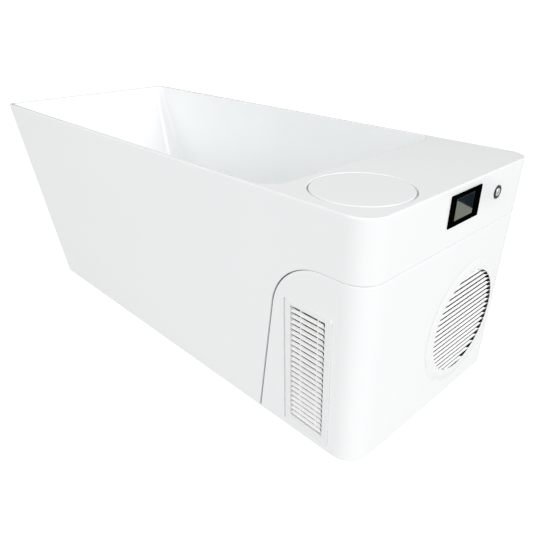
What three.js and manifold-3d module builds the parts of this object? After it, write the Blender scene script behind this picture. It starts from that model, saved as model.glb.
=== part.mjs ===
// Cold plunge tub with a built-in chiller: an acrylic bath whose deck end holds a refrigeration bay
// behind a pull-off service cover. Millimetres, +Z up, X along the tub with the chiller end at +X,
// the louvred near side at -Y, and the origin on the floor under the middle of the tub.
import * as THREE from 'three';
import { mergeVertices } from 'three/addons/utils/BufferGeometryUtils.js';
import Module from 'manifold-3d';

const wasm = await Module();
wasm.setup();

// Tub shell: outer size at the rim, lean of the walls from rim to skirt, and wall thickness
const tubLength = 1700;
const tubWidth = 690;
const shellHeight = 620;
const floorGap = 10;
const headLean = 250;
const sideLean = 18;
const endLean = 6;
const headCorner = 20;
const chillerCorner = 60;
const apronWall = 5;
const rimWidth = 12;
const rimThickness = 8;
const rimRound = 4;

// Basin inside the shell
const basinWall = 5;
const basinHeadLean = 235;
const basinSideLean = 40;
const basinDeckLean = 20;
const basinHeadCorner = 25;
const basinDeckCorner = 60;
const basinFloorCorner = 95;
const basinFloorRound = 60;
const jacketThickness = 20;
const jacketTopDrop = 70;

// Base frame of square tube, and its levelling feet
const footRise = 25;
const railSize = 30;
const railWall = 2;
const railSpread = 170;
const railEndGap = 35;
const crossbarSize = 30;
const crossbarCount = 4;
const footRadius = 28;
const footPadHeight = 6;
const footNeckRadius = 11;
const studRadius = 6;
const studReach = 18;
const footInset = 45;

// Chiller bay, from the basin wall out to the end of the tub
const bayGap = 6;
const compressorRadius = 59;
const condenserDepth = 40;
const fanDepth = 52;
const fanClearance = 10;
const grilleDepth = 14;
const deckLength = basinWall + jacketThickness + 3 * bayGap + 2 * compressorRadius
  + condenserDepth + fanDepth + fanClearance + grilleDepth;

// Service cover: its outline on the side of the tub, and the lip behind its edge
const coverTop = 474;
const coverFoot = 313;
const coverFrontLean = THREE.MathUtils.degToRad(8.74);
const coverCorner = 150;
const coverGap = 5;
const lipWidth = 12;
const lipThickness = 3;

// Louvre grilles in the cover
const slatPitch = 15;
const slatThickness = 2.4;
const slatRun = 6;
const slatRise = 6;
const fanGrilleProud = 2.5;
const sideGrilleProud = 4;
const barrelWall = 4;
const slatEndGap = 3.5;
const ribWidth = 3;
const sideGrilleWidth = 140;
const sideGrilleHeight = 357;
const sideGrilleBorder = 17.5;
const sideGrilleHeadBorder = 14;
const sideGrilleCorner = 6;
const sideGrilleEndDistance = 150;
const sideGrilleFoot = 20;
const fanHoleRadius = 143.5;
const fanFlangeWidth = 34;
const fanHeight = 216;
const fanCornerMargin = 5.5;

// Lid and filter under the deck
const lidRadius = 114;
const lidThickness = 8;
const lidGroove = 3;
const lidSideMargin = 33;
const lidEndMargin = 19;
const lidRound = 2;
const collarWidth = 14;
const collarHeight = 14;
const gasketSize = 4;
const filterWall = 4;
const filterRadius = 92;
const filterLength = 270;
const cartridgeRadius = 78;
const cartridgeLength = 215;
const cartridgePleats = 20;
const pleatDepth = 9;
const cartridgeCapHeight = 12;
const cartridgeCapLip = 3;
const filterRound = 8;
const filterFlange = 6;

// Display and push button on the end of the apron
const displayWidth = 134;
const displayHeight = 76;
const displayDrop = 56;
const displayOffset = 9;
const displayProud = 3;
const displayBodyDepth = 32;
const displayLip = 4;
const displayCorner = 2;
const displaySideBorder = 9;
const displayHeadBorder = 5;
const screenWidth = 89;
const screenHeight = 52;
const screenRecess = 3;
const screenGlass = 3;
const buttonOffset = 170;
const buttonDrop = 60;
const buttonRadius = 18;
const buttonProud = 5;
const buttonBodyRadius = 13;
const buttonBodyDepth = 30;
const buttonCapRadius = 11;
const buttonTravel = 3;
const buttonChamfer = 2;

// Fittings through the basin and the apron
const spigotRadius = 14;
const pipeBend = 30;
const tightBend = 24;
const strainerRadius = 45;
const strainerHeight = 230;
const nozzleRadius = 32;
const nozzleDrop = 160;
const fittingHead = 10;
const fittingNut = 22;
const fittingNutLength = 10;
const fittingTail = 18;
const drainRadius = 36;
const drainThroat = 22;
const drainWall = 3;
const drainFlange = 2;
const plugRadius = 30;
const plugHeight = 6;
const plugTravel = 12;
const drainPipeRadius = 12;
const glandRadius = 12;
const glandHead = 13;
const glandFlange = 5;
const glandNut = 18;
const glandBore = 6;
const glandWall = 3;

// Refrigeration and water circuit inside the bay
const trayThickness = 2;
const trayLip = 15;
const trayMargin = 28;
const mountHeight = 14;
const mountRadius = 12;
const mountCircle = 52;
const mountWaist = 3;
const mountCount = 3;
const compressorHeight = 215;
const compressorOffset = 68;
const compressorSeam = 3;
const compressorSeamHeight = 129;
const canFootRound = 10;
const canShoulder = 20;
const terminalWidth = 44;
const terminalHeight = 56;
const terminalDepth = 16;
const condenserMargin = 16;
const finCount = 15;
const finGroove = 6;
const hairpinCount = 3;
const rotorHub = 40;
const rotorTip = 124;
const rotorBlades = 5;
const bladeThickness = 1.6;
const bladeCamber = 1;
const bladeRootChord = 34;
const bladeTipChord = 66;
const bladeRootPitch = 34;
const bladeTipPitch = 15;
const bladeSweep = 24;
const bladeRootBite = 3;
const ringSetBack = 10;
const shroudArms = 3;
const motorRadius = 38;
const motorLength = 24;
const motorRound = 4;
const shaftRadius = 5;
const shaftLength = 10;
const rotorGap = 1;
const exchangerRadius = 45;
const exchangerHeight = 260;
const exchangerDome = 12;
const exchangerOffset = 78;
const exchangerStand = 28;
const pumpRise = 62;
const voluteRadius = 52;
const voluteWidth = 36;
const pumpMotorRadius = 42;
const pumpMotorLength = 76;
const pumpFootWidth = 58;
const pumpRib = 4;
const copperRadius = 5;
const copperBend = 20;
const liquidOffset = 15;
const liquidRise = 42;
const dischargeDrop = 24;
const controlWidth = 210;
const controlDepth = 140;
const controlHeight = 110;
const controlDrop = 35;
const earWidth = 20;
const earInset = 42;

// Clearances, and how finely round forms are faceted
const fitGap = 0.3;
const cutOver = 40;
const rolledMiddle = 0.3;
const cornerSteps = 3;
const roundSides = 16;
const largeSides = 32;
const smallSides = 12;
const pipeSides = 8;
const copperSides = 6;
const stepDiameters = 1.6;

// Levels and stations worked out from the sizes above
const rimTop = floorGap + shellHeight;
const flangeBottom = rimTop - rimThickness;
const railTop = footRise + railSize;
const jacketBottom = railTop + crossbarSize + 2 * fitGap;
const basinFloor = jacketBottom + jacketThickness + basinWall;
const basinDepth = rimTop - basinFloor;
const tubEnd = tubLength / 2;
const bayStart = tubEnd - deckLength + basinWall + jacketThickness;
const compressorX = bayStart + bayGap + compressorRadius;
const condenserBack = compressorX + compressorRadius + bayGap;
const condenserFront = condenserBack + condenserDepth;
const shroudBack = condenserFront + bayGap;
const fanFront = shroudBack + fanDepth;
const fanZ = floorGap + fanHeight;
const fanY = tubWidth / 2 - sideLean - chillerCorner - fanHoleRadius - fanCornerMargin;
const lidHole = lidRadius + lidGroove;
const lidX = tubEnd - lidEndMargin - lidHole;
const lidY = -(tubWidth / 2 - lidSideMargin - lidHole);
const trayTop = railTop + fitGap + trayThickness;
const displayZ = rimTop - displayDrop;
const buttonZ = rimTop - buttonDrop;
const coverFootX = tubEnd - coverFoot;
const nozzleHeight = rimTop - nozzleDrop;

// Finishes of the real pieces
const acrylic = finish(0xf2f4f4, 0.12, 0);
const whitePlastic = finish(0xf4f4f2, 0.3, 0);
const blackPlastic = finish(0x101113, 0.35, 0);
const greyPlastic = finish(0x6f757a, 0.5, 0);
const darkGlass = finish(0x2a3230, 0.05, 0);
const chrome = finish(0xc9ccce, 0.12, 1);
const galvanised = finish(0xa9adb0, 0.45, 1);
const copper = finish(0xb87048, 0.3, 1);
const aluminium = finish(0xb9bdc0, 0.4, 1);
const rubber = finish(0x1b1b1c, 0.8, 0);
const foam = finish(0xd8cfa6, 0.95, 0);
const blackPaint = finish(0x1a1b1d, 0.4, 0.2);
const pipeBlue = finish(0x4a6076, 0.45, 0);
const filterPaper = finish(0xe6ebef, 0.9, 0);

function finish(color, roughness, metalness) {
  return new THREE.MeshStandardMaterial({ color, roughness, metalness });
}

const tub = new THREE.Group();

// Hangs a finished geometry in the tub as a named piece, at a station where one is given.
function piece(name, geometry, material, station) {
  const mesh = new THREE.Mesh(closed(geometry), material);
  mesh.name = name;
  if (station) {
    mesh.applyMatrix4(station);
  }
  tub.add(mesh);
  return mesh;
}

// One closed body with shared corners and its faces turned outwards.
function closed(geometry) {
  const bare = new THREE.BufferGeometry();
  bare.setAttribute('position', geometry.getAttribute('position').clone());
  bare.setIndex(geometry.index);
  const merged = mergeVertices(bare);
  const corners = merged.index.array;
  const faces = [];
  const a = new THREE.Vector3();
  const b = new THREE.Vector3();
  const c = new THREE.Vector3();
  let volume = 0;
  for (let i = 0; i < corners.length; i += 3) {
    const [p, q, r] = corners.slice(i, i + 3);
    if (p !== q && q !== r && r !== p) {
      faces.push([p, q, r]);
      a.fromBufferAttribute(merged.attributes.position, p);
      b.fromBufferAttribute(merged.attributes.position, q);
      c.fromBufferAttribute(merged.attributes.position, r);
      volume += a.dot(b.cross(c));
    }
  }
  merged.setIndex(faces.flatMap((face) => (volume < 0 ? face.reverse() : face)));
  return merged;
}

function solid(geometry) {
  const body = closed(geometry);
  return new wasm.Manifold(new wasm.Mesh({
    numProp: 3,
    vertProperties: new Float32Array(body.attributes.position.array),
    triVerts: new Uint32Array(body.index.array),
  }));
}

function geometryOf(body) {
  const mesh = body.getMesh();
  const geometry = new THREE.BufferGeometry();
  geometry.setAttribute('position', new THREE.BufferAttribute(mesh.vertProperties, mesh.numProp));
  geometry.setIndex(new THREE.BufferAttribute(mesh.triVerts, 1));
  return geometry;
}

function join(...geometries) {
  return geometryOf(geometries.map(solid).reduce((whole, part) => whole.add(part)));
}

function cut(geometry, ...cutters) {
  return geometryOf(cutters.map(solid).reduce((whole, part) => whole.subtract(part), solid(geometry)));
}

function overlap(geometry, other) {
  return geometryOf(solid(geometry).intersect(solid(other)));
}

function moved(geometry, x, y, z) {
  return geometry.clone().translate(x, y, z);
}

// Box between two corners.
function block(low, high) {
  const [width, depth, height] = high.map((value, axis) => value - low[axis]);
  const geometry = new THREE.BoxGeometry(width, depth, height);
  return geometry.translate(low[0] + width / 2, low[1] + depth / 2, low[2] + height / 2);
}

// Round bar between two points.
function rod(from, to, radius, sides = roundSides) {
  const start = new THREE.Vector3(...from);
  const along = new THREE.Vector3(...to).sub(start);
  const geometry = new THREE.CylinderGeometry(radius, radius, along.length(), sides);
  const turn = new THREE.Quaternion().setFromUnitVectors(
    new THREE.Vector3(0, 1, 0),
    along.clone().normalize(),
  );
  return geometry.applyQuaternion(turn).translate(...start.addScaledVector(along, 0.5));
}

// Clearance hole for a round piece: its flats, not its corners, stand the fit gap away from the piece.
function bore(from, to, radius, sides = roundSides) {
  return rod(from, to, (radius + fitGap) / Math.cos(Math.PI / sides), sides);
}

// Profile of [radius, height] pairs turned about the Z axis.
function turned(profile, sides = roundSides) {
  const points = profile.map(([radius, height]) => new THREE.Vector2(radius, height));
  return new THREE.LatheGeometry(points, sides).rotateX(Math.PI / 2);
}

// The same turned about the X axis, with the second value of each pair along +X.
function turnedAlongX(profile, sides = roundSides) {
  return turned(profile, sides).rotateY(Math.PI / 2);
}

// Outline in the plane of two axes, thickened along the third, from low to high.
function plate(shape, low, high) {
  const geometry = new THREE.ExtrudeGeometry(shape, {
    depth: high - low,
    bevelEnabled: false,
    curveSegments: cornerSteps,
  });
  return geometry.translate(0, 0, low);
}

function roundedRectangle(width, height, radius) {
  const shape = new THREE.Shape();
  const right = width / 2 - radius;
  const top = height / 2 - radius;
  shape.absarc(right, -top, radius, -Math.PI / 2, 0);
  shape.absarc(right, top, radius, 0, Math.PI / 2);
  shape.absarc(-right, top, radius, Math.PI / 2, Math.PI);
  shape.absarc(-right, -top, radius, Math.PI, 1.5 * Math.PI);
  shape.closePath();
  return shape;
}

function rectangle(width, height) {
  return [[-1, -1], [1, -1], [1, 1], [-1, 1]].map(([x, y]) => new THREE.Vector2(
    (x * width) / 2,
    (y * height) / 2,
  ));
}

// Path through points with its corners rounded, each bend starting one bend length before the corner.
function route(points, bend = pipeBend) {
  const path = new THREE.CurvePath();
  let from = points[0];
  points.slice(1, -1).forEach((corner, i) => {
    const into = from.clone().sub(corner).setLength(bend).add(corner);
    const out = points[i + 2].clone().sub(corner).setLength(bend).add(corner);
    path.add(new THREE.LineCurve3(from, into));
    path.add(new THREE.QuadraticBezierCurve3(into, corner, out));
    from = out;
  });
  path.add(new THREE.LineCurve3(from, points[points.length - 1]));
  return path;
}

// Round tube along a route.
function tube(points, radius, bend = pipeBend, sides = pipeSides) {
  const path = route(points, bend);
  const section = new THREE.Shape().absarc(0, 0, radius, 0, 2 * Math.PI);
  const outline = new THREE.Shape(section.getPoints(sides / 2).slice(0, -1));
  const steps = Math.ceil(path.getLength() / (stepDiameters * 2 * radius)) + points.length;
  return new THREE.ExtrudeGeometry(outline, { steps, extrudePath: path, curveSegments: 1 });
}

// Closed body through level outlines with equal numbers of points, lowest first.
function loft(sections) {
  const count = sections[0].outline.length;
  const positions = sections.flatMap(({ outline, z }) => outline.flatMap((point) => [point.x, point.y, z]));
  const index = [];
  for (let level = 0; level + 1 < sections.length; level += 1) {
    for (let i = 0; i < count; i += 1) {
      const here = level * count + i;
      const next = level * count + ((i + 1) % count);
      index.push(here, next, next + count, here, next + count, here + count);
    }
  }
  const last = (sections.length - 1) * count;
  THREE.ShapeUtils.triangulateShape(sections[0].outline, []).forEach(([a, b, c]) => {
    index.push(c, b, a);
  });
  THREE.ShapeUtils.triangulateShape(sections.at(-1).outline, []).forEach(([a, b, c]) => {
    index.push(last + a, last + b, last + c);
  });
  const geometry = new THREE.BufferGeometry();
  geometry.setAttribute('position', new THREE.Float32BufferAttribute(positions, 3));
  geometry.setIndex(index);
  return geometry;
}

// Outline of a tub at one level: two corner radii at the head end and two at the chiller end.
function tubOutline(left, right, half, leftRadius, rightRadius) {
  const shape = new THREE.Shape();
  shape.absarc(right - rightRadius, -half + rightRadius, rightRadius, -Math.PI / 2, 0);
  shape.absarc(right - rightRadius, half - rightRadius, rightRadius, 0, Math.PI / 2);
  shape.absarc(left + leftRadius, half - leftRadius, leftRadius, Math.PI / 2, Math.PI);
  shape.absarc(left + leftRadius, -half + leftRadius, leftRadius, Math.PI, 1.5 * Math.PI);
  return shape.getPoints(cornerSteps);
}

function shellHalf(z) {
  return tubWidth / 2 - (sideLean * (rimTop - z)) / shellHeight;
}

function shellEnd(z) {
  return tubEnd - (endLean * (rimTop - z)) / shellHeight;
}

function shellHead(z) {
  return -tubEnd + (headLean * (rimTop - z)) / shellHeight;
}

// Level section of the outer shell, drawn in by an inset.
function shellSection(z, inset) {
  const least = 1;
  return {
    outline: tubOutline(
      shellHead(z) + inset,
      shellEnd(z) - inset,
      shellHalf(z) - inset,
      Math.max(headCorner - inset, least),
      Math.max(chillerCorner - inset, least),
    ),
    z,
  };
}

function shellBlock(inset, low, high) {
  return loft([shellSection(low, inset), shellSection(high, inset)]);
}

// Wall of the outer shell between two insets.
function shellLayer(outer, inner, low, high) {
  return cut(shellBlock(outer, low, high), shellBlock(inner, low - cutOver, high + cutOver));
}

function basinDeckX(z) {
  return tubEnd - deckLength - (basinDeckLean * (rimTop - z)) / basinDepth;
}

// Level section of the basin's inner face, moved outwards by grow.
function basinSection(z, grow) {
  const drop = (rimTop - z) / basinDepth;
  const headRadius = THREE.MathUtils.lerp(basinHeadCorner, basinFloorCorner, drop);
  const deckRadius = THREE.MathUtils.lerp(basinDeckCorner, basinFloorCorner, drop);
  return {
    outline: tubOutline(
      -tubEnd + rimWidth + basinHeadLean * drop - grow,
      basinDeckX(z) + grow,
      tubWidth / 2 - rimWidth - basinSideLean * drop + grow,
      headRadius + grow,
      deckRadius + grow,
    ),
    z,
  };
}

// Basin as a body: flat floor, quarter-round turn at the foot of the walls, leaning walls to the top.
function basinSections(grow, steps) {
  const floor = basinFloor - grow;
  const radius = basinFloorRound + grow;
  return Array.from({ length: steps + 1 }, (_, step) => {
    const angle = ((step / steps) * Math.PI) / 2;
    return basinSection(
      floor + radius * (1 - Math.cos(angle)),
      grow - radius * (1 - Math.sin(angle)),
    );
  });
}

function basinBlock(grow, top, steps = 3) {
  return loft([...basinSections(grow, steps), basinSection(top, grow)]);
}

// The room inside the basin, with the rim's inner edge rolled over.
function basinRoom() {
  const shallow = rolledMiddle * rimRound;
  return loft([
    ...basinSections(0, cornerSteps),
    basinSection(rimTop - rimRound, 0),
    basinSection(rimTop - shallow, shallow),
    basinSection(rimTop, rimRound),
    basinSection(rimTop + cutOver, rimRound),
  ]);
}

// Stations: a place on a leaning wall, with local X (end and basin wall) or Y (sides) square to it.
function station(x, y, z, turnX, turnY) {
  const turn = new THREE.Matrix4().makeRotationFromEuler(new THREE.Euler(turnX, turnY, 0));
  return new THREE.Matrix4().makeTranslation(x, y, z).multiply(turn);
}

function endStation(y, z) {
  return station(shellEnd(z), y, z, 0, Math.atan(endLean / shellHeight));
}

function sideStation(x, z, side) {
  return station(x, side * shellHalf(z), z, -side * Math.atan(sideLean / shellHeight), 0);
}

function basinStation(y, z) {
  return station(basinDeckX(z), y, z, 0, Math.atan(basinDeckLean / basinDepth));
}

function at(matrix, x, y, z) {
  return new THREE.Vector3(x, y, z).applyMatrix4(matrix);
}

// Outline of the service cover seen from the side, grown outwards by an offset: a leaning front edge,
// a round corner and a level top edge.
function coverBlock(offset) {
  const radius = coverCorner + offset;
  const top = floorGap + coverTop;
  const centreZ = top - coverCorner;
  const reach = coverCorner + (centreZ - floorGap) * Math.sin(coverFrontLean);
  const centreX = coverFootX + reach / Math.cos(coverFrontLean);
  const below = floorGap - cutOver;
  const startX = coverFootX - offset / Math.cos(coverFrontLean)
    - cutOver * Math.tan(coverFrontLean);
  const shape = new THREE.Shape();
  shape.moveTo(tubEnd + cutOver, below);
  shape.lineTo(startX, below);
  shape.absarc(centreX, centreZ, radius, Math.PI - coverFrontLean, Math.PI / 2, true);
  shape.lineTo(tubEnd + cutOver, top + offset);
  shape.closePath();
  const half = tubWidth / 2 + cutOver;
  return plate(shape, -half, half).rotateX(Math.PI / 2);
}

// Fitting screwed through a basin or apron wall, turned about local X: a domed head inside the wall,
// a threaded tail through it and a nut behind it.
function wallFitting(headRadius, wall, backing) {
  const back = wall + backing + fitGap;
  const nutEnd = back + fittingNutLength;
  return turnedAlongX([
    [0, -fittingHead],
    [headRadius - 2 * fittingHead, -fittingHead],
    [headRadius - fittingHead / 2, -fittingHead / 2],
    [headRadius, -fitGap],
    [spigotRadius, -fitGap],
    [spigotRadius, back],
    [fittingNut, back],
    [fittingNut, nutEnd],
    [spigotRadius, nutEnd],
    [spigotRadius, nutEnd + fittingTail],
    [0, nutEnd + fittingTail],
  ], smallSides);
}

function fittingReach(wall, backing) {
  return wall + backing + fitGap + fittingNutLength + fittingTail;
}

// Clearance hole along local X through a wall.
function wallHole(radius, matrix) {
  return bore([-cutOver, 0, 0], [cutOver, 0, 0], radius).applyMatrix4(matrix);
}

// Places that more than one piece shares
const strainerStation = basinStation(lidY + filterRadius, strainerHeight);
const nozzleStation = basinStation(fanY - exchangerOffset, nozzleHeight);
const displayStation = endStation(displayOffset, displayZ);
const buttonStation = endStation(buttonOffset, buttonZ);
const fanStation = endStation(fanY, fanZ);
const sideGrilleStation = sideStation(
  tubEnd - sideGrilleEndDistance,
  floorGap + sideGrilleFoot + sideGrilleHeight / 2,
  -1,
);
const railStart = shellHead(floorGap) + railEndGap;
const railEnd = fanFront;
const firstCrossbar = railStart + 2 * railEndGap;
const lastCrossbar = coverFootX - 2 * lipWidth - crossbarSize;
const crossbarPitch = (lastCrossbar - firstCrossbar) / (crossbarCount - 1);
const crossbarXs = Array.from({ length: crossbarCount }, (_, i) => firstCrossbar + i * crossbarPitch);
const drainX = lastCrossbar - crossbarPitch / 2;
const drainPipeZ = railTop + bayGap / 2 + drainPipeRadius;
const drainStation = sideStation(drainX, drainPipeZ, 1);
const glandStation = sideStation(lastCrossbar - 2 * crossbarSize, drainPipeZ, 1);

function innerBasin() {
  const shallow = rolledMiddle * rimRound;
  const flange = loft([
    shellSection(flangeBottom, 0),
    shellSection(rimTop - rimRound, 0),
    shellSection(rimTop - shallow, shallow),
    shellSection(rimTop, rimRound),
  ]);
  const body = join(flange, basinBlock(basinWall, flangeBottom + rimThickness / 2));
  const lidCut = rod(
    [lidX, lidY, flangeBottom - cutOver],
    [lidX, lidY, rimTop + cutOver],
    lidHole,
    largeSides,
  );
  const drainCut = bore([drainX, 0, basinFloor - cutOver], [drainX, 0, basinFloor + cutOver], drainThroat);
  return cut(
    body,
    basinRoom(),
    lidCut,
    drainCut,
    wallHole(spigotRadius, strainerStation),
    wallHole(spigotRadius, nozzleStation),
  );
}

function insulationJacket() {
  const top = rimTop - jacketTopDrop;
  const outer = overlap(
    basinBlock(basinWall + jacketThickness, top),
    shellBlock(apronWall + fitGap, floorGap, rimTop),
  );
  const drainCut = bore([drainX, 0, jacketBottom - cutOver], [drainX, 0, basinFloor + cutOver], drainRadius);
  return cut(
    outer,
    basinBlock(basinWall + fitGap, top + cutOver),
    drainCut,
    wallHole(spigotRadius, strainerStation),
    wallHole(spigotRadius, nozzleStation),
  );
}

// Skirt with the opening for the service cover, and a lip bonded behind the edge of that opening.
function outerApron() {
  const top = flangeBottom - fitGap;
  const opening = coverBlock(coverGap);
  const lipOuter = coverBlock(coverGap + lipWidth);
  const lipInner = coverBlock(-lipWidth);
  const lipBack = apronWall + fitGap + lipThickness;
  const skin = cut(shellLayer(0, apronWall, floorGap, top), opening);
  const bonded = cut(overlap(shellLayer(apronWall / 2, lipBack, floorGap, top), lipOuter), opening);
  const lip = cut(overlap(shellLayer(apronWall + fitGap, lipBack, floorGap, top), lipOuter), lipInner);
  const displayCut = block(
    [-cutOver, -displayWidth / 2 + displayLip - fitGap, -displayHeight / 2 + displayLip - fitGap],
    [cutOver, displayWidth / 2 - displayLip + fitGap, displayHeight / 2 - displayLip + fitGap],
  ).applyMatrix4(displayStation);
  const sideHole = (radius, matrix) => bore([0, -cutOver, 0], [0, cutOver, 0], radius).applyMatrix4(matrix);
  return cut(
    join(skin, bonded, lip),
    displayCut,
    wallHole(buttonBodyRadius, buttonStation),
    sideHole(spigotRadius, drainStation),
    sideHole(glandRadius, glandStation),
  );
}

function serviceCover() {
  const skin = overlap(shellLayer(0, apronWall, floorGap, rimTop), coverBlock(0));
  const window = block(
    [
      -sideGrilleWidth / 2 + sideGrilleBorder - barrelWall - fitGap,
      -cutOver,
      -sideGrilleHeight / 2 + sideGrilleHeadBorder - barrelWall - fitGap,
    ],
    [
      sideGrilleWidth / 2 - sideGrilleBorder + barrelWall + fitGap,
      cutOver,
      sideGrilleHeight / 2 - sideGrilleHeadBorder + barrelWall + fitGap,
    ],
  ).applyMatrix4(sideGrilleStation);
  const outlet = bore(
    [-cutOver, 0, 0],
    [cutOver, 0, 0],
    fanHoleRadius + barrelWall,
    largeSides,
  ).applyMatrix4(fanStation);
  return cut(skin, window, outlet);
}

// One louvre slat along local X: its outer edge is low, so that splashes run off it.
function slat(width, z, setBack) {
  const shape = new THREE.Shape();
  shape.moveTo(0, 0);
  shape.lineTo(slatRun, slatRise);
  shape.lineTo(slatRun, slatRise + slatThickness);
  shape.lineTo(0, slatThickness);
  shape.closePath();
  const bar = plate(shape, -width / 2, width / 2);
  bar.rotateX(Math.PI / 2).rotateZ(Math.PI / 2);
  return bar.translate(0, setBack, z);
}

// Bank of slats facing -Y that fills a height, centred on the origin, its front edge set back from it.
function slatBank(width, height, setBack) {
  const count = Math.floor(height / slatPitch);
  const first = -((count - 1) * slatPitch + slatRise + slatThickness) / 2;
  return Array.from({ length: count }, (_, i) => slat(width, first + i * slatPitch, setBack));
}

// Rectangular grille facing -Y: flat frame on the cover's face, a barrel through the cover, and slats
// with free ends that two upright ribs behind them carry from the foot of the barrel to its head.
function sideGrille() {
  const openWidth = sideGrilleWidth - 2 * sideGrilleBorder;
  const openHeight = sideGrilleHeight - 2 * sideGrilleHeadBorder;
  const face = plate(
    roundedRectangle(sideGrilleWidth, sideGrilleHeight, sideGrilleCorner),
    fitGap,
    sideGrilleProud,
  ).rotateX(Math.PI / 2);
  const barrel = block(
    [-openWidth / 2 - barrelWall, -sideGrilleProud / 2, -openHeight / 2 - barrelWall],
    [openWidth / 2 + barrelWall, grilleDepth, openHeight / 2 + barrelWall],
  );
  const opening = block(
    [-openWidth / 2, -cutOver, -openHeight / 2],
    [openWidth / 2, cutOver, openHeight / 2],
  );
  const frame = cut(join(face, barrel), opening);
  const setBack = slatThickness / 2;
  const ribs = [-openWidth / 4, openWidth / 4].map((x) => block(
    [x - ribWidth / 2, setBack + slatRun - ribWidth / 2, -openHeight / 2 - barrelWall / 2],
    [x + ribWidth / 2, grilleDepth, openHeight / 2 + barrelWall / 2],
  ));
  return join(frame, ...ribs, ...slatBank(openWidth - 2 * slatEndGap, openHeight, setBack));
}

// Round grille facing +X: a flange seated on the cover, following its rounded corner, with slats whose
// front edges run into the flange.
function fanGrille() {
  const flangeRadius = fanHoleRadius + fanFlangeWidth;
  const disc = (radius, low, high) => rod([low, 0, 0], [high, 0, 0], radius, largeSides);
  const seat = shellBlock(-fitGap, floorGap - cutOver, rimTop)
    .applyMatrix4(fanStation.clone().invert());
  const flange = cut(
    disc(flangeRadius, -grilleDepth, fanGrilleProud),
    seat,
    disc(fanHoleRadius, -cutOver, cutOver),
  );
  const slats = slatBank(2 * flangeRadius, 2 * fanHoleRadius, -fanGrilleProud / 2).map((bar) => overlap(
    bar.rotateZ(Math.PI / 2),
    disc(fanHoleRadius + barrelWall / 2, -cutOver, cutOver),
  ));
  return join(flange, ...slats);
}

// Length of square tube along Z, standing on the origin.
function squareTube(size, length) {
  const shape = new THREE.Shape(rectangle(size, size));
  shape.holes.push(new THREE.Path(rectangle(size - 2 * railWall, size - 2 * railWall)));
  return plate(shape, 0, length);
}

// Rail along the tub, drilled from below for the studs of its feet.
function baseRail(y) {
  const rail = squareTube(railSize, railEnd - railStart)
    .rotateY(Math.PI / 2)
    .translate(railStart, y, footRise + railSize / 2);
  const holes = footXs().map((x) => bore(
    [x, y, footRise - cutOver],
    [x, y, footRise + railSize / 2],
    studRadius,
    pipeSides,
  ));
  return cut(rail, ...holes);
}

// Crossbar on the rails, reaching from one side of the apron to the other.
function baseCrossbar(x) {
  const reach = shellHalf(railTop) - apronWall - fitGap;
  return squareTube(crossbarSize, 2 * reach)
    .rotateX(-Math.PI / 2)
    .translate(x, -reach, railTop + fitGap + crossbarSize / 2);
}

function footXs() {
  return [railStart + footInset, (railStart + railEnd) / 2, railEnd - footInset];
}

function footPlaces() {
  return footXs().flatMap((x) => [[x, -railSpread], [x, railSpread]]);
}

function levellingFoot() {
  const neck = footRise - 2 * fitGap;
  return turned([
    [0, 0],
    [footRadius, 0],
    [footRadius, footPadHeight],
    [footNeckRadius, 2 * footPadHeight],
    [footNeckRadius, neck],
    [studRadius, neck],
    [studRadius, footRise + studReach],
    [0, footRise + studReach],
  ], smallSides);
}

function drainFitting() {
  const shoulder = jacketBottom - bayGap;
  const low = drainPipeZ - drainPipeRadius - drainWall;
  const pipeHole = bore([0, 0, drainPipeZ], [0, cutOver, drainPipeZ], drainPipeRadius);
  const body = turned([
    [0, low],
    [drainThroat, low],
    [drainThroat, basinFloor + fitGap],
    [drainRadius, basinFloor + fitGap],
    [drainRadius, basinFloor + fitGap + drainFlange],
    [plugRadius, basinFloor + fitGap + 2 * drainFlange],
    [drainThroat - drainWall, basinFloor - drainFlange],
    [drainThroat - drainWall, shoulder],
    [0, shoulder],
  ], smallSides);
  return cut(body, pipeHole);
}

function drainPlug() {
  const seat = basinFloor + 2 * drainFlange + 3 * fitGap;
  return turned([
    [0, basinFloor - plugTravel],
    [studRadius, basinFloor - plugTravel],
    [studRadius, seat],
    [plugRadius - drainFlange, seat],
    [plugRadius, seat + plugHeight / 2],
    [plugRadius - 2 * plugHeight, seat + plugHeight],
    [0, seat + plugHeight],
  ], smallSides);
}

function lidCollar() {
  const inner = lidRadius - collarWidth;
  const outer = lidHole + lidGroove * 3;
  const ledge = rimTop - lidThickness - fitGap;
  const top = flangeBottom - fitGap;
  const step = Math.min(ledge, top);
  return turned([
    [inner, step - collarHeight],
    [outer, step - collarHeight],
    [outer, top],
    [lidHole, top],
    [lidHole - lidGroove / 2, step],
    [inner, step],
    [inner, step - collarHeight],
  ], largeSides).translate(lidX, lidY, 0);
}

function filterLid() {
  const low = rimTop - lidThickness;
  const shallow = rolledMiddle * lidRound;
  return turned([
    [0, low],
    [lidRadius - lidRound / 2, low],
    [lidRadius, low + lidRound / 2],
    [lidRadius, rimTop - lidRound],
    [lidRadius - shallow, rimTop - shallow],
    [lidRadius - lidRound, rimTop],
    [0, rimTop],
  ], largeSides).translate(lidX, lidY, 0);
}

// Seal ring hung under the lid, inside the collar.
function lidGasket() {
  const outer = lidRadius - collarWidth - 2 * fitGap;
  const top = rimTop - lidThickness - fitGap;
  return turned([
    [outer - gasketSize, top - gasketSize],
    [outer, top - gasketSize],
    [outer, top],
    [outer - gasketSize, top],
    [outer - gasketSize, top - gasketSize],
  ]).translate(lidX, lidY, 0);
}

const filterTop = flangeBottom - fitGap - collarHeight - fitGap;
const filterBottom = filterTop - filterLength;
const filterPortZ = filterBottom + 3 * spigotRadius;

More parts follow.
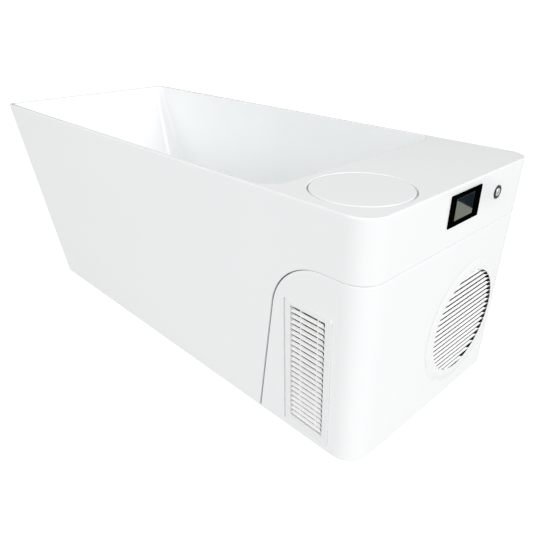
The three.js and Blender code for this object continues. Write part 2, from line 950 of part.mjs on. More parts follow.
// The exchanger's head is level with the filter's outlet, so that one straight pipe joins their ports.
const exchangerX = bayStart + 2 * bayGap + exchangerRadius;
const exchangerY = fanY - exchangerOffset;
const exchangerTop = filterPortZ + spigotRadius + exchangerDome;
const exchangerFoot = exchangerTop - exchangerHeight;
const exchangerWay = new THREE.Vector2(exchangerX - lidX, exchangerY - lidY).normalize();

// A place on the line from the filter to the exchanger, so far from the middle of either of them.
function fromFilter(reach) {
  return [lidX + exchangerWay.x * reach, lidY + exchangerWay.y * reach, filterPortZ];
}

function fromExchanger(reach) {
  return [exchangerX - exchangerWay.x * reach, exchangerY - exchangerWay.y * reach, filterPortZ];
}

// Bucket hung under the collar, with an inlet spigot below and an outlet spigot towards the exchanger.
function filterHousing() {
  const flange = lidHole + lidGroove;
  const bucket = turned([
    [0, filterBottom],
    [filterRadius - filterRound, filterBottom],
    [filterRadius, filterBottom + filterRound],
    [filterRadius, filterTop - filterRound],
    [flange, filterTop - filterFlange],
    [flange, filterTop],
    [filterRadius - filterWall, filterTop],
    [filterRadius - filterWall, filterBottom + filterRound + filterWall],
    [filterRadius - filterWall - filterRound / 2, filterBottom + filterWall],
    [0, filterBottom + filterWall],
  ]).translate(lidX, lidY, 0);
  const inlet = rod(
    [lidX, lidY, filterBottom - spigotRadius],
    [lidX, lidY, filterBottom + filterWall / 2],
    spigotRadius,
  );
  const outlet = rod(
    fromFilter(filterRadius - filterWall / 2),
    fromFilter(filterRadius + spigotRadius),
    spigotRadius,
  );
  return join(bucket, inlet, outlet);
}

// Pleated paper between two caps, with a bail handle to lift it by.
function filterCartridge() {
  const low = filterBottom + filterWall + bayGap;
  const high = low + cartridgeLength;
  const outline = Array.from({ length: 2 * cartridgePleats }, (_, i) => {
    const radius = cartridgeRadius - cartridgeCapLip - (i % 2) * pleatDepth;
    const angle = (i * Math.PI) / cartridgePleats;
    return new THREE.Vector2(radius * Math.cos(angle), radius * Math.sin(angle));
  });
  const bite = cartridgeCapHeight / 2;
  const pleats = plate(new THREE.Shape(outline), low + bite, high - bite);
  const cap = (z) => rod([0, 0, z], [0, 0, z + cartridgeCapHeight], cartridgeRadius);
  const grip = tube([
    new THREE.Vector3(-cartridgeRadius / 2, 0, high - bite),
    new THREE.Vector3(-cartridgeRadius / 2, 0, high + 2 * cartridgeCapHeight),
    new THREE.Vector3(cartridgeRadius / 2, 0, high + 2 * cartridgeCapHeight),
    new THREE.Vector3(cartridgeRadius / 2, 0, high - bite),
  ], copperRadius, cartridgeCapHeight, copperSides);
  return join(pleats, cap(low), cap(high - cartridgeCapHeight), grip).translate(lidX, lidY, 0);
}

// Black housing let into the apron: a frame in front whose inner edges slant back to the screen, and a
// box behind the wall.
function displayHousing() {
  const frame = plate(
    roundedRectangle(displayWidth, displayHeight, displayCorner),
    fitGap,
    displayProud,
  );
  const body = plate(
    new THREE.Shape(rectangle(displayWidth - 2 * displayLip, displayHeight - 2 * displayLip)),
    -displayBodyDepth,
    displayProud / 2,
  );
  const pocket = rectangle(screenWidth + 2 * fitGap, screenHeight + 2 * fitGap);
  const mouth = rectangle(displayWidth - 2 * displaySideBorder, displayHeight - 2 * displayHeadBorder);
  const recess = loft([
    { outline: pocket, z: displayProud - screenRecess - screenGlass - fitGap },
    { outline: pocket, z: displayProud - screenRecess },
    { outline: mouth, z: displayProud },
    { outline: mouth, z: displayProud + cutOver },
  ]);
  return cut(join(frame, body), recess).rotateZ(Math.PI / 2).rotateY(Math.PI / 2);
}

function displayGlass() {
  const front = displayProud - screenRecess;
  return block(
    [front - screenGlass, -screenWidth / 2, -screenHeight / 2],
    [front, screenWidth / 2, screenHeight / 2],
  );
}

// Metal ring and barrel of the push button, bored for its cap.
function buttonBezel() {
  const hole = buttonCapRadius + fitGap;
  const floor = -buttonTravel - 2 * fitGap;
  return turnedAlongX([
    [0, -buttonBodyDepth],
    [buttonBodyRadius, -buttonBodyDepth],
    [buttonBodyRadius, fitGap],
    [buttonRadius, fitGap],
    [buttonRadius, buttonProud - 1.5 * buttonChamfer],
    [buttonRadius - buttonChamfer, buttonProud - buttonChamfer / 2],
    [buttonRadius - 2 * buttonChamfer, buttonProud],
    [hole, buttonProud - buttonChamfer / 2],
    [hole, floor],
    [0, floor],
  ]);
}

function buttonCap() {
  return turnedAlongX([
    [0, 0],
    [buttonCapRadius, 0],
    [buttonCapRadius, buttonProud - buttonChamfer],
    [buttonCapRadius - buttonChamfer, buttonProud - buttonChamfer / 4],
    [0, buttonProud],
  ]);
}

// Folded tray that carries the chiller on the rails.
function chillerTray() {
  const half = shellHalf(floorGap) - apronWall - lipThickness - trayMargin;
  const low = railTop + fitGap;
  return cut(
    block([bayStart, -half, low], [fanFront, half, trayTop + trayLip]),
    block(
      [bayStart + trayThickness, -half + trayThickness, trayTop],
      [fanFront - trayThickness, half - trayThickness, trayTop + cutOver],
    ),
  );
}

const compressorY = fanY + compressorOffset;
const compressorBase = trayTop + mountHeight + 2 * fitGap;
const compressorTop = compressorBase + compressorHeight;

function compressorMountPlaces() {
  return Array.from({ length: mountCount }, (_, i) => {
    const angle = Math.PI / 2 + (i * 2 * Math.PI) / mountCount;
    return [compressorX + mountCircle * Math.cos(angle), compressorY + mountCircle * Math.sin(angle)];
  });
}

const canRadius = compressorRadius - compressorSeam;
const canSeamZ = compressorBase + compressorSeamHeight;

// Hermetic shell: deep-drawn can with a weld seam, on a three-lobed base plate.
function compressor() {
  const can = turned([
    [0, compressorBase],
    [canRadius - canFootRound, compressorBase],
    [canRadius, compressorBase + canFootRound],
    [canRadius, canSeamZ],
    [compressorRadius, canSeamZ],
    [compressorRadius, canSeamZ + 2 * compressorSeam],
    [canRadius, canSeamZ + 2 * compressorSeam],
    [canRadius, compressorTop - canShoulder],
    [canRadius - canShoulder / 2, compressorTop - rolledMiddle * canShoulder],
    [canRadius / 2, compressorTop],
    [0, compressorTop],
  ]).translate(compressorX, compressorY, 0);
  const lobes = compressorMountPlaces().map(([x, y]) => rod(
    [x, y, compressorBase],
    [x, y, compressorBase + compressorSeam],
    mountRadius,
    pipeSides,
  ));
  return join(can, ...lobes);
}

// Moulded cover over the compressor's terminals, hollowed to its can.
function terminalCover() {
  const high = canSeamZ - bayGap;
  const box = block(
    [-terminalWidth / 2, 0, high - terminalHeight],
    [terminalWidth / 2, compressorRadius + terminalDepth, high],
  );
  const can = turned([
    [0, compressorBase],
    [canRadius + fitGap, compressorBase],
    [canRadius + fitGap, canSeamZ],
    [0, canSeamZ],
  ]);
  return cut(box, can).translate(compressorX, compressorY, 0);
}

function compressorMount() {
  return turned([
    [0, 0],
    [mountRadius, 0],
    [mountRadius, mountHeight / 3],
    [mountRadius - mountWaist, mountHeight / 2],
    [mountRadius, (2 * mountHeight) / 3],
    [mountRadius, mountHeight],
    [0, mountHeight],
  ], pipeSides).translate(0, 0, trayTop + fitGap);
}

const condenserHalf = fanHoleRadius;
const condenserFoot = trayTop + fitGap;
const condenserHead = fanZ + fanHoleRadius + condenserMargin;

// Fin pack between two end plates, grooved on the face that the air enters, with its hairpin bends.
function condenserCoil() {
  const low = fanY - condenserHalf;
  const high = fanY + condenserHalf;
  const pack = block([condenserBack, low, condenserFoot], [condenserFront, high, condenserHead]);
  const pitch = (2 * condenserHalf) / (finCount + 1);
  const grooves = Array.from({ length: finCount }, (_, i) => {
    const y = low + (i + 1) * pitch;
    return block(
      [condenserBack - cutOver, y - pitch / 4, condenserFoot + finGroove],
      [condenserBack + finGroove, y + pitch / 4, condenserHead - finGroove],
    );
  });
  const step = (condenserHead - condenserFoot) / (hairpinCount + 1);
  const middle = (condenserBack + condenserFront) / 2;
  const bends = Array.from({ length: hairpinCount }, (_, i) => {
    const z = condenserFoot + (i + 1) * step;
    return tube([
      new THREE.Vector3(middle, low + copperRadius, z - step / 4),
      new THREE.Vector3(middle, low - 4 * copperRadius, z - step / 4),
      new THREE.Vector3(middle, low - 4 * copperRadius, z + step / 4),
      new THREE.Vector3(middle, low + copperRadius, z + step / 4),
    ], copperRadius, 2 * copperRadius, copperSides);
  });
  return join(cut(pack, ...grooves), ...bends);
}

const ringInner = rotorTip + bayGap / 2;

// Sheet panel in front of the coil with a rolled ring round the rotor and arms to the motor seat.
function fanShroud() {
  const plateEnd = shroudBack + trayThickness;
  const ringEnd = fanFront - ringSetBack;
  const panel = block(
    [shroudBack, fanY - condenserHalf, condenserFoot],
    [plateEnd, fanY + condenserHalf, condenserHead],
  );
  const disc = (radius, low, high) => rod([low, fanY, fanZ], [high, fanY, fanZ], radius, largeSides);
  const ring = disc(ringInner + trayThickness, shroudBack, ringEnd);
  const open = cut(join(panel, ring), disc(ringInner, shroudBack - cutOver, fanFront + cutOver));
  const armEnd = plateEnd + 2 * trayThickness;
  const arms = Array.from({ length: shroudArms }, (_, i) => {
    const arm = block(
      [shroudBack, -bayGap, motorRadius],
      [armEnd, bayGap, ringInner + trayThickness / 2],
    );
    return arm.rotateX((i * 2 * Math.PI) / shroudArms).translate(0, fanY, fanZ);
  });
  const seat = disc(motorRadius + bayGap, shroudBack, armEnd);
  const motorSeat = bore([shroudBack + trayThickness, fanY, fanZ], [fanFront, fanY, fanZ], motorRadius);
  return cut(join(open, ...arms, seat), motorSeat);
}

const motorBack = shroudBack + trayThickness + fitGap;
const motorFront = motorBack + motorLength;

function fanMotor() {
  return turnedAlongX([
    [0, 0],
    [motorRadius, 0],
    [motorRadius, motorLength - motorRound],
    [motorRadius - motorRound, motorLength],
    [shaftRadius, motorLength],
    [shaftRadius, motorLength + shaftLength],
    [0, motorLength + shaftLength],
  ]).translate(motorBack, fanY, fanZ);
}

// Axial rotor: cupped hub with twisted blades, lofted from root to tip.
function fanRotor() {
  const back = motorFront + rotorGap;
  const depth = fanFront - back;
  const hub = turnedAlongX([
    [0, shaftLength],
    [shaftRadius + fitGap, shaftLength],
    [shaftRadius + fitGap, 0],
    [rotorHub, 0],
    [rotorHub, depth - motorRound],
    [rotorHub - motorRound, depth],
    [0, depth],
  ]);
  const bladeSections = [0, 0.5, 1].map((share) => {
    const radius = THREE.MathUtils.lerp(rotorHub - bladeRootBite, rotorTip, share);
    const chord = THREE.MathUtils.lerp(bladeRootChord, bladeTipChord, share);
    const degrees = THREE.MathUtils.lerp(bladeRootPitch, bladeTipPitch, share);
    const pitch = THREE.MathUtils.degToRad(degrees);
    const camber = [
      [-0.5, bladeThickness],
      [0.5, bladeThickness],
      [0.5, 0],
      [0.2, -bladeCamber],
      [-0.2, -bladeCamber],
      [-0.5, 0],
    ];
    const outline = camber.map(([along, thick]) => new THREE.Vector2(
      along * chord * Math.sin(pitch) + thick * Math.cos(pitch),
      along * chord * Math.cos(pitch) - thick * Math.sin(pitch) + share * bladeSweep,
    ));
    return { outline, z: radius };
  });
  const blades = Array.from({ length: rotorBlades }, (_, i) => loft(bladeSections)
    .translate(depth / 2, 0, 0)
    .rotateX((i * 2 * Math.PI) / rotorBlades));
  const sweep = rod([-depth, 0, 0], [2 * depth, 0, 0], rotorTip, largeSides);
  return overlap(join(hub, ...blades), sweep).translate(back, fanY, fanZ);
}

// Domed shell-and-coil exchanger on a stand, with its water inlet towards the filter and its outlet on top.
function heatExchanger() {
  const shell = turned([
    [0, trayTop + fitGap],
    [exchangerStand, trayTop + fitGap],
    [exchangerStand, exchangerFoot],
    [exchangerRadius, exchangerFoot],
    [exchangerRadius, exchangerTop - exchangerDome],
    [exchangerRadius - exchangerDome, exchangerTop],
    [0, exchangerTop],
  ], roundSides).translate(exchangerX, exchangerY, 0);
  const inlet = rod(fromExchanger(0), fromExchanger(exchangerRadius + spigotRadius), spigotRadius);
  const outlet = rod(
    [exchangerX, exchangerY, exchangerTop - spigotRadius],
    [exchangerX, exchangerY, exchangerTop + spigotRadius],
    spigotRadius,
  );
  return join(shell, inlet, outlet);
}

const pumpZ = trayTop + pumpRise;
const pumpInletY = lidY + voluteWidth / 2 + spigotRadius;
const pumpOutletZ = pumpZ + voluteRadius + spigotRadius;

// Close-coupled pump lying along Y: volute with two spigots, finned motor, saddle foot.
function circulationPump() {
  const volute = rod(
    [lidX, lidY - voluteWidth / 2, pumpZ],
    [lidX, lidY + voluteWidth / 2, pumpZ],
    voluteRadius,
  );
  const motorEnd = lidY - voluteWidth / 2 - pumpMotorLength;
  const motor = rod([lidX, motorEnd, pumpZ], [lidX, lidY, pumpZ], pumpMotorRadius);
  const inlet = rod([lidX, lidY, pumpZ], [lidX, pumpInletY, pumpZ], spigotRadius, smallSides);
  const outlet = rod([lidX, lidY, pumpZ], [lidX, lidY, pumpOutletZ], spigotRadius, smallSides);
  const foot = block(
    [lidX - pumpFootWidth / 2, motorEnd + bayGap, trayTop + fitGap],
    [lidX + pumpFootWidth / 2, lidY, pumpZ],
  );
  const ribs = [1, 2].map((i) => {
    const y = motorEnd + (i * pumpMotorLength) / 3;
    return rod([lidX, y, pumpZ], [lidX, y + pumpRib, pumpZ], pumpMotorRadius + pumpRib);
  });
  return join(volute, motor, inlet, outlet, foot, ...ribs);
}

// Box of electronics hung from the deck by two ears.
function controlBox() {
  const left = exchangerX;
  const low = flangeBottom - controlDrop - controlHeight;
  const near = exchangerY + exchangerRadius;
  const top = low + controlHeight;
  const box = block([left, near, low], [left + controlDepth, near + controlWidth, top]);
  const ears = [earInset, controlWidth - earInset - earWidth].map((along) => block(
    [left + earInset, near + along, top - trayThickness],
    [left + controlDepth - earInset, near + along + earWidth, flangeBottom - fitGap],
  ));
  return join(box, ...ears);
}

// Water pipes and refrigerant tubes between the spigots, each end a clearance away from what it meets.
function waterPipes() {
  const tail = fittingReach(basinWall, jacketThickness) + fitGap;
  const leaving = (matrix, x) => {
    const start = at(matrix, tail, 0, 0);
    const way = at(matrix, tail + 1, 0, 0).sub(start);
    return [start, start.clone().addScaledVector(way, (x - start.x) / way.x)];
  };
  const [suctionStart, suctionCorner] = leaving(strainerStation, lidX);
  piece('suction_pipe', tube([
    suctionStart,
    suctionCorner,
    new THREE.Vector3(lidX, suctionCorner.y, pumpZ),
    new THREE.Vector3(lidX, pumpInletY + fitGap, pumpZ),
  ], spigotRadius), pipeBlue);
  piece('filter_pipe', rod(
    [lidX, lidY, pumpOutletZ + fitGap],
    [lidX, lidY, filterBottom - spigotRadius - fitGap],
    spigotRadius,
    pipeSides,
  ), pipeBlue);
  piece('exchanger_pipe', rod(
    fromFilter(filterRadius + spigotRadius + fitGap),
    fromExchanger(exchangerRadius + spigotRadius + fitGap),
    spigotRadius,
    pipeSides,
  ), pipeBlue);
  const [returnEnd, returnCorner] = leaving(nozzleStation, exchangerX);
  piece('return_pipe', tube([
    new THREE.Vector3(exchangerX, exchangerY, exchangerTop + spigotRadius + fitGap),
    returnCorner,
    returnEnd,
  ], spigotRadius, tightBend), pipeBlue);
}

function refrigerantTubes() {
  const back = condenserBack - fitGap;
  const dischargeY = compressorY + compressorRadius / 3;
  const dischargeZ = condenserHead - dischargeDrop;
  piece('discharge_tube', tube([
    new THREE.Vector3(compressorX, dischargeY, compressorTop + fitGap),
    new THREE.Vector3(compressorX, dischargeY, dischargeZ),
    new THREE.Vector3(back, dischargeY, dischargeZ),
  ], copperRadius, copperBend, copperSides), copper);
  const liquidY = exchangerY + exchangerRadius + liquidOffset;
  const liquidZ = exchangerFoot + liquidRise;
  const exchangerFace = exchangerY + exchangerRadius + fitGap;
  piece('liquid_tube', tube([
    new THREE.Vector3(back, liquidY, liquidZ),
    new THREE.Vector3(exchangerX, liquidY, liquidZ),
    new THREE.Vector3(exchangerX, exchangerFace, liquidZ),
  ], copperRadius, bayGap, copperSides), copper);
  const vapourY = compressorY - compressorRadius / 3;
  const vapourZ = compressorTop + pipeBend;
  piece('vapour_tube', tube([
    new THREE.Vector3(exchangerX, exchangerFace, vapourZ),
    new THREE.Vector3(exchangerX, vapourY, vapourZ),
    new THREE.Vector3(exchangerX, vapourY, compressorTop + fitGap),
  ], copperRadius, copperBend, copperSides), copper);
}

// Drain line under the basin to a capped outlet low on the far side.
function drainLine() {
  const start = drainThroat + fitGap;
  const wallY = shellHalf(drainPipeZ) - apronWall;
  piece('drain_pipe', rod(
    [drainX, start, drainPipeZ],
    [drainX, wallY - fittingNutLength - 2 * fitGap, drainPipeZ],
    drainPipeRadius,
    pipeSides,
  ), greyPlastic);
  const outlet = turned([
    [0, -apronWall - fittingNutLength],
    [fittingNut, -apronWall - fittingNutLength],
    [fittingNut, -apronWall - fitGap],
    [spigotRadius, -apronWall - fitGap],
    [spigotRadius, fitGap],
    [fittingNut, fitGap],
    [fittingNut, drainWall],
    [spigotRadius, 2 * drainWall],
    [spigotRadius, fittingHead],
    [0, fittingHead],
  ], smallSides).rotateX(-Math.PI / 2);
  piece('drain_outlet', outlet, greyPlastic, drainStation);
}

// Gland that a mains lead would come through, beside the drain outlet.
function powerInlet() {
  return turned([
    [0, -apronWall - fittingNutLength],
    [glandNut, -apronWall - fittingNutLength],
    [glandNut, -apronWall - fitGap],
    [glandRadius, -apronWall - fitGap],
    [glandRadius, fitGap],
    [glandRadius + glandFlange, fitGap],
    [glandRadius + glandFlange, glandFlange],
    [glandRadius, glandHead / 2],
    [glandBore + glandWall, glandHead],
    [glandBore, glandHead],
    [glandBore, 0],
    [0, 0],
  ], smallSides).rotateX(-Math.PI / 2);
}

// Tub
piece('inner_basin', innerBasin(), acrylic);
piece('outer_apron', outerApron(), acrylic);
piece('insulation_jacket', insulationJacket(), foam);
[-railSpread, railSpread].forEach((y, i) => {
  piece(`base_rail_${i + 1}`, baseRail(y), galvanised);
});
crossbarXs.forEach((x, i) => {
  piece(`base_crossbar_${i + 1}`, baseCrossbar(x), galvanised);
});
footPlaces().forEach(([x, y], i) => {
  piece(`levelling_foot_${i + 1}`, moved(levellingFoot(), x, y, 0), rubber);
});
piece('drain_fitting', moved(drainFitting(), drainX, 0, 0), chrome);
piece('drain_plug', moved(drainPlug(), drainX, 0, 0), chrome);
drainLine();
piece('power_inlet', powerInlet(), blackPlastic, glandStation);
const strainer = wallFitting(strainerRadius, basinWall, jacketThickness);
const nozzle = wallFitting(nozzleRadius, basinWall, jacketThickness);
piece('suction_strainer', strainer, whitePlastic, strainerStation);
piece('return_nozzle', nozzle, whitePlastic, nozzleStation);

// Lid and filter
piece('filter_lid', filterLid(), acrylic);
piece('lid_gasket', lidGasket(), rubber);
piece('lid_collar', lidCollar(), whitePlastic);
piece('filter_housing', filterHousing(), blackPlastic);
piece('filter_cartridge', filterCartridge(), filterPaper);

// Controls
piece('display_housing', displayHousing(), blackPlastic, displayStation);
piece('display_glass', displayGlass(), darkGlass, displayStation);
piece('button_bezel', buttonBezel(), chrome, buttonStation);
piece('button_cap', buttonCap(), chrome, buttonStation);
piece('control_box', controlBox(), greyPlastic);

// Chiller
piece('chiller_tray', chillerTray(), galvanised);
piece('compressor', compressor(), blackPaint);
piece('compressor_terminal_cover', terminalCover(), greyPlastic);
compressorMountPlaces().forEach(([x, y], i) => {
  piece(`compressor_mount_${i + 1}`, moved(compressorMount(), x, y, 0), rubber);
});
piece('condenser_coil', condenserCoil(), aluminium);
piece('fan_shroud', fanShroud(), blackPaint);
piece('fan_motor', fanMotor(), blackPaint);
piece('fan_rotor', fanRotor(), blackPlastic);
piece('heat_exchanger', heatExchanger(), greyPlastic);
piece('circulation_pump', circulationPump(), blackPlastic);
waterPipes();
refrigerantTubes();

// Service cover and its grilles
piece('service_cover', serviceCover(), acrylic);
piece('side_grille', sideGrille(), whitePlastic, sideGrilleStation);
piece('fan_grille', fanGrille(), whitePlastic, fanStation);

// The display and the rolled rim put the middle of the whole length a little off the shell's middle.
const whole = new THREE.Box3().setFromObject(tub, true);
tub.position.x = -(whole.min.x + whole.max.x) / 2;
const coldPlungeTub = new THREE.Group();
coldPlungeTub.add(tub);

export default coldPlungeTub;
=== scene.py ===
import math

import bpy
import numpy as np
from mathutils.geometry import delaunay_2d_cdt
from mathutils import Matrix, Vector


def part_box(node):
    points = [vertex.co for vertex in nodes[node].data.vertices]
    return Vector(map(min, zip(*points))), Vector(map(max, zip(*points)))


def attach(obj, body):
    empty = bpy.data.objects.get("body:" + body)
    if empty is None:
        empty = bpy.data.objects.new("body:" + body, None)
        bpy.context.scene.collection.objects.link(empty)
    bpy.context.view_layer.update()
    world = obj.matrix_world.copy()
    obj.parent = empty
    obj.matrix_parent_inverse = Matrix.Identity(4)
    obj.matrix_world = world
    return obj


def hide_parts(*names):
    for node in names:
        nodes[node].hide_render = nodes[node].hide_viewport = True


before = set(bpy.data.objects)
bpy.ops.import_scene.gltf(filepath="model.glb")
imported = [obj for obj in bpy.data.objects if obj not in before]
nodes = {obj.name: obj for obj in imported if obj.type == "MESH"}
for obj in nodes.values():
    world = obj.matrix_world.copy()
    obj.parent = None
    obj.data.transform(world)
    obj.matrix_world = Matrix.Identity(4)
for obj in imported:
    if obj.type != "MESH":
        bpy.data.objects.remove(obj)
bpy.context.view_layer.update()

# Camera: stands off the louvred near side at the chiller end, a little above the rim, and looks down
# along the tub. Angles and place were solved from the straight edges of the tub in the picture.
MM = 0.001
lid_x = 714.0
view_azimuth = math.radians(46.2252)
view_elevation = math.radians(26.3606)
view_place = np.array([1369.896, -1103.5, 990.6])
view_lens = 36.556
view_sensor = 36.0

lid_low, lid_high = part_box("filter_lid")
drawing_shift = np.array([(lid_low.x + lid_high.x) / 2 - lid_x * MM, 0.0, 0.0])
camera_data = bpy.data.cameras.new("camera")
camera_data.lens = view_lens
camera_data.sensor_width = view_sensor
camera_data.clip_end = 200.0
camera = bpy.data.objects.new("camera", camera_data)
camera.location = view_place * MM + drawing_shift
camera.rotation_euler = (math.pi / 2 - view_elevation, 0.0, view_azimuth)
bpy.context.scene.collection.objects.link(camera)
bpy.context.scene.camera = camera

# Studio: a plain white floor that runs out to a white surround with an even light, broad soft lights on the
# chiller end, on the near side and over the camera. A dark sheet laid on the floor where the tub stands is
# painted shadow under it, and a flag on the floor is mirrored by the screen.
surround_light = 0.56
floor_half = 60.0
floor_seen = 1.0
floor_glow = 0.56
floor_shade = 0.12
soft_spread = math.radians(40.0)
soft_lights = (
    ("end_light", 1.49, (0.88, 0.12, 0.46)),
    ("side_light", 0.91, (-0.2, -0.85, 0.487)),
    ("fill_light", 0.2, (0.647, -0.62, 0.444)),
)
flag_corners = np.array([
    [1.744, 1.606, 0.004], [1.479, 1.49, 0.004], [1.479, 1.80, 0.004], [1.75, 2.16, 0.004]])
flag_shade = 0.012
back_corners = np.array([[-6.06, -1.11, 0.0], [0.86, 6.11, 0.0], [0.86, 6.11, 1.3], [-6.06, -1.11, 1.3]])
back_shade = 0.02
# Painted shadow: a dark sheet on the floor under the tub stands in for the shade there.
painted_shadow_shade = 0.03
painted_shadow_corners = np.array([
    [-0.57, -0.30, 0.001], [0.815, -0.30, 0.001], [0.815, 0.30, 0.001], [-0.57, 0.30, 0.001]])

bpy.context.scene.view_settings.view_transform = "Standard"
world = bpy.data.worlds.new("surround")
bpy.context.scene.world = world
world.use_nodes = True
world_nodes = world.node_tree.nodes
world_links = world.node_tree.links
world_nodes.clear()
world_out = world_nodes.new("ShaderNodeOutputWorld")
lighting = world_nodes.new("ShaderNodeBackground")
lighting.inputs["Color"].default_value = (1.0, 1.0, 1.0, 1.0)
lighting.inputs["Strength"].default_value = surround_light
backdrop = world_nodes.new("ShaderNodeBackground")
backdrop.inputs["Color"].default_value = (1.0, 1.0, 1.0, 1.0)
backdrop.inputs["Strength"].default_value = 1.0
ray = world_nodes.new("ShaderNodeLightPath")
choose = world_nodes.new("ShaderNodeMixShader")
world_links.new(ray.outputs["Is Camera Ray"], choose.inputs[0])
world_links.new(lighting.outputs[0], choose.inputs[1])
world_links.new(backdrop.outputs[0], choose.inputs[2])
world_links.new(choose.outputs[0], world_out.inputs["Surface"])


def stage_sheet(name, corners, shade):
    """Flat sheet of the studio with a dull finish, and the shader of that finish."""
    mesh = bpy.data.meshes.new(name)
    mesh.from_pydata(corners.tolist(), [], [tuple(range(len(corners)))])
    sheet_object = bpy.data.objects.new(name, mesh)
    bpy.context.scene.collection.objects.link(sheet_object)
    finish = bpy.data.materials.new(name)
    finish.use_nodes = True
    shader = finish.node_tree.nodes["Principled BSDF"]
    shader.inputs["Base Color"].default_value = (shade, shade, shade, 1.0)
    shader.inputs["Roughness"].default_value = 0.9
    shader.inputs["Specular IOR Level"].default_value = 0.0
    mesh.materials.append(finish)
    return sheet_object, finish.node_tree, shader


floor_corners = np.array([[-1, -1, 0], [1, -1, 0], [1, 1, 0], [-1, 1, 0]], float) * floor_half
floor, floor_tree, floor_shader = stage_sheet("studio_floor", floor_corners, floor_shade)
floor_shader.inputs["Emission Color"].default_value = (1.0, 1.0, 1.0, 1.0)
floor_ray = floor_tree.nodes.new("ShaderNodeLightPath")
floor_light = floor_tree.nodes.new("ShaderNodeMapRange")
floor_light.inputs["To Min"].default_value = floor_glow
floor_light.inputs["To Max"].default_value = floor_seen
floor_tree.links.new(floor_ray.outputs["Is Camera Ray"], floor_light.inputs["Value"])
floor_tree.links.new(floor_light.outputs["Result"], floor_shader.inputs["Emission Strength"])
# The dark sheet under the tub is painted shadow.
stage_sheet("studio_floor_painted_shadow", painted_shadow_corners, painted_shadow_shade)
for flag_name, corners, shade in (
    ("studio_flag", flag_corners, flag_shade), ("studio_back", back_corners, back_shade),
):
    flag, flag_tree, flag_shader = stage_sheet(flag_name, corners, shade)
    flag.visible_camera = False
    flag.visible_diffuse = False
    flag.visible_shadow = False

for light_name, strength, way in soft_lights:
    light_data = bpy.data.lights.new(light_name, "SUN")
    light_data.energy = strength
    light_data.angle = soft_spread
    soft_light = bpy.data.objects.new(light_name, light_data)
    soft_light.rotation_euler = (
        math.atan2(math.hypot(way[0], way[1]), way[2]), 0.0, math.atan2(way[0], -way[1]))
    bpy.context.scene.collection.objects.link(soft_light)

# Base frame: two square steel tubes laid along the tub, and four more across them that reach from side to
# side of the apron and carry the basin. The steel is zinc plated. Sizes are in millimetres.
tube_wall = 2.0
tube_round = 3.0
tube_bore_round = 1.5
round_cuts = 6


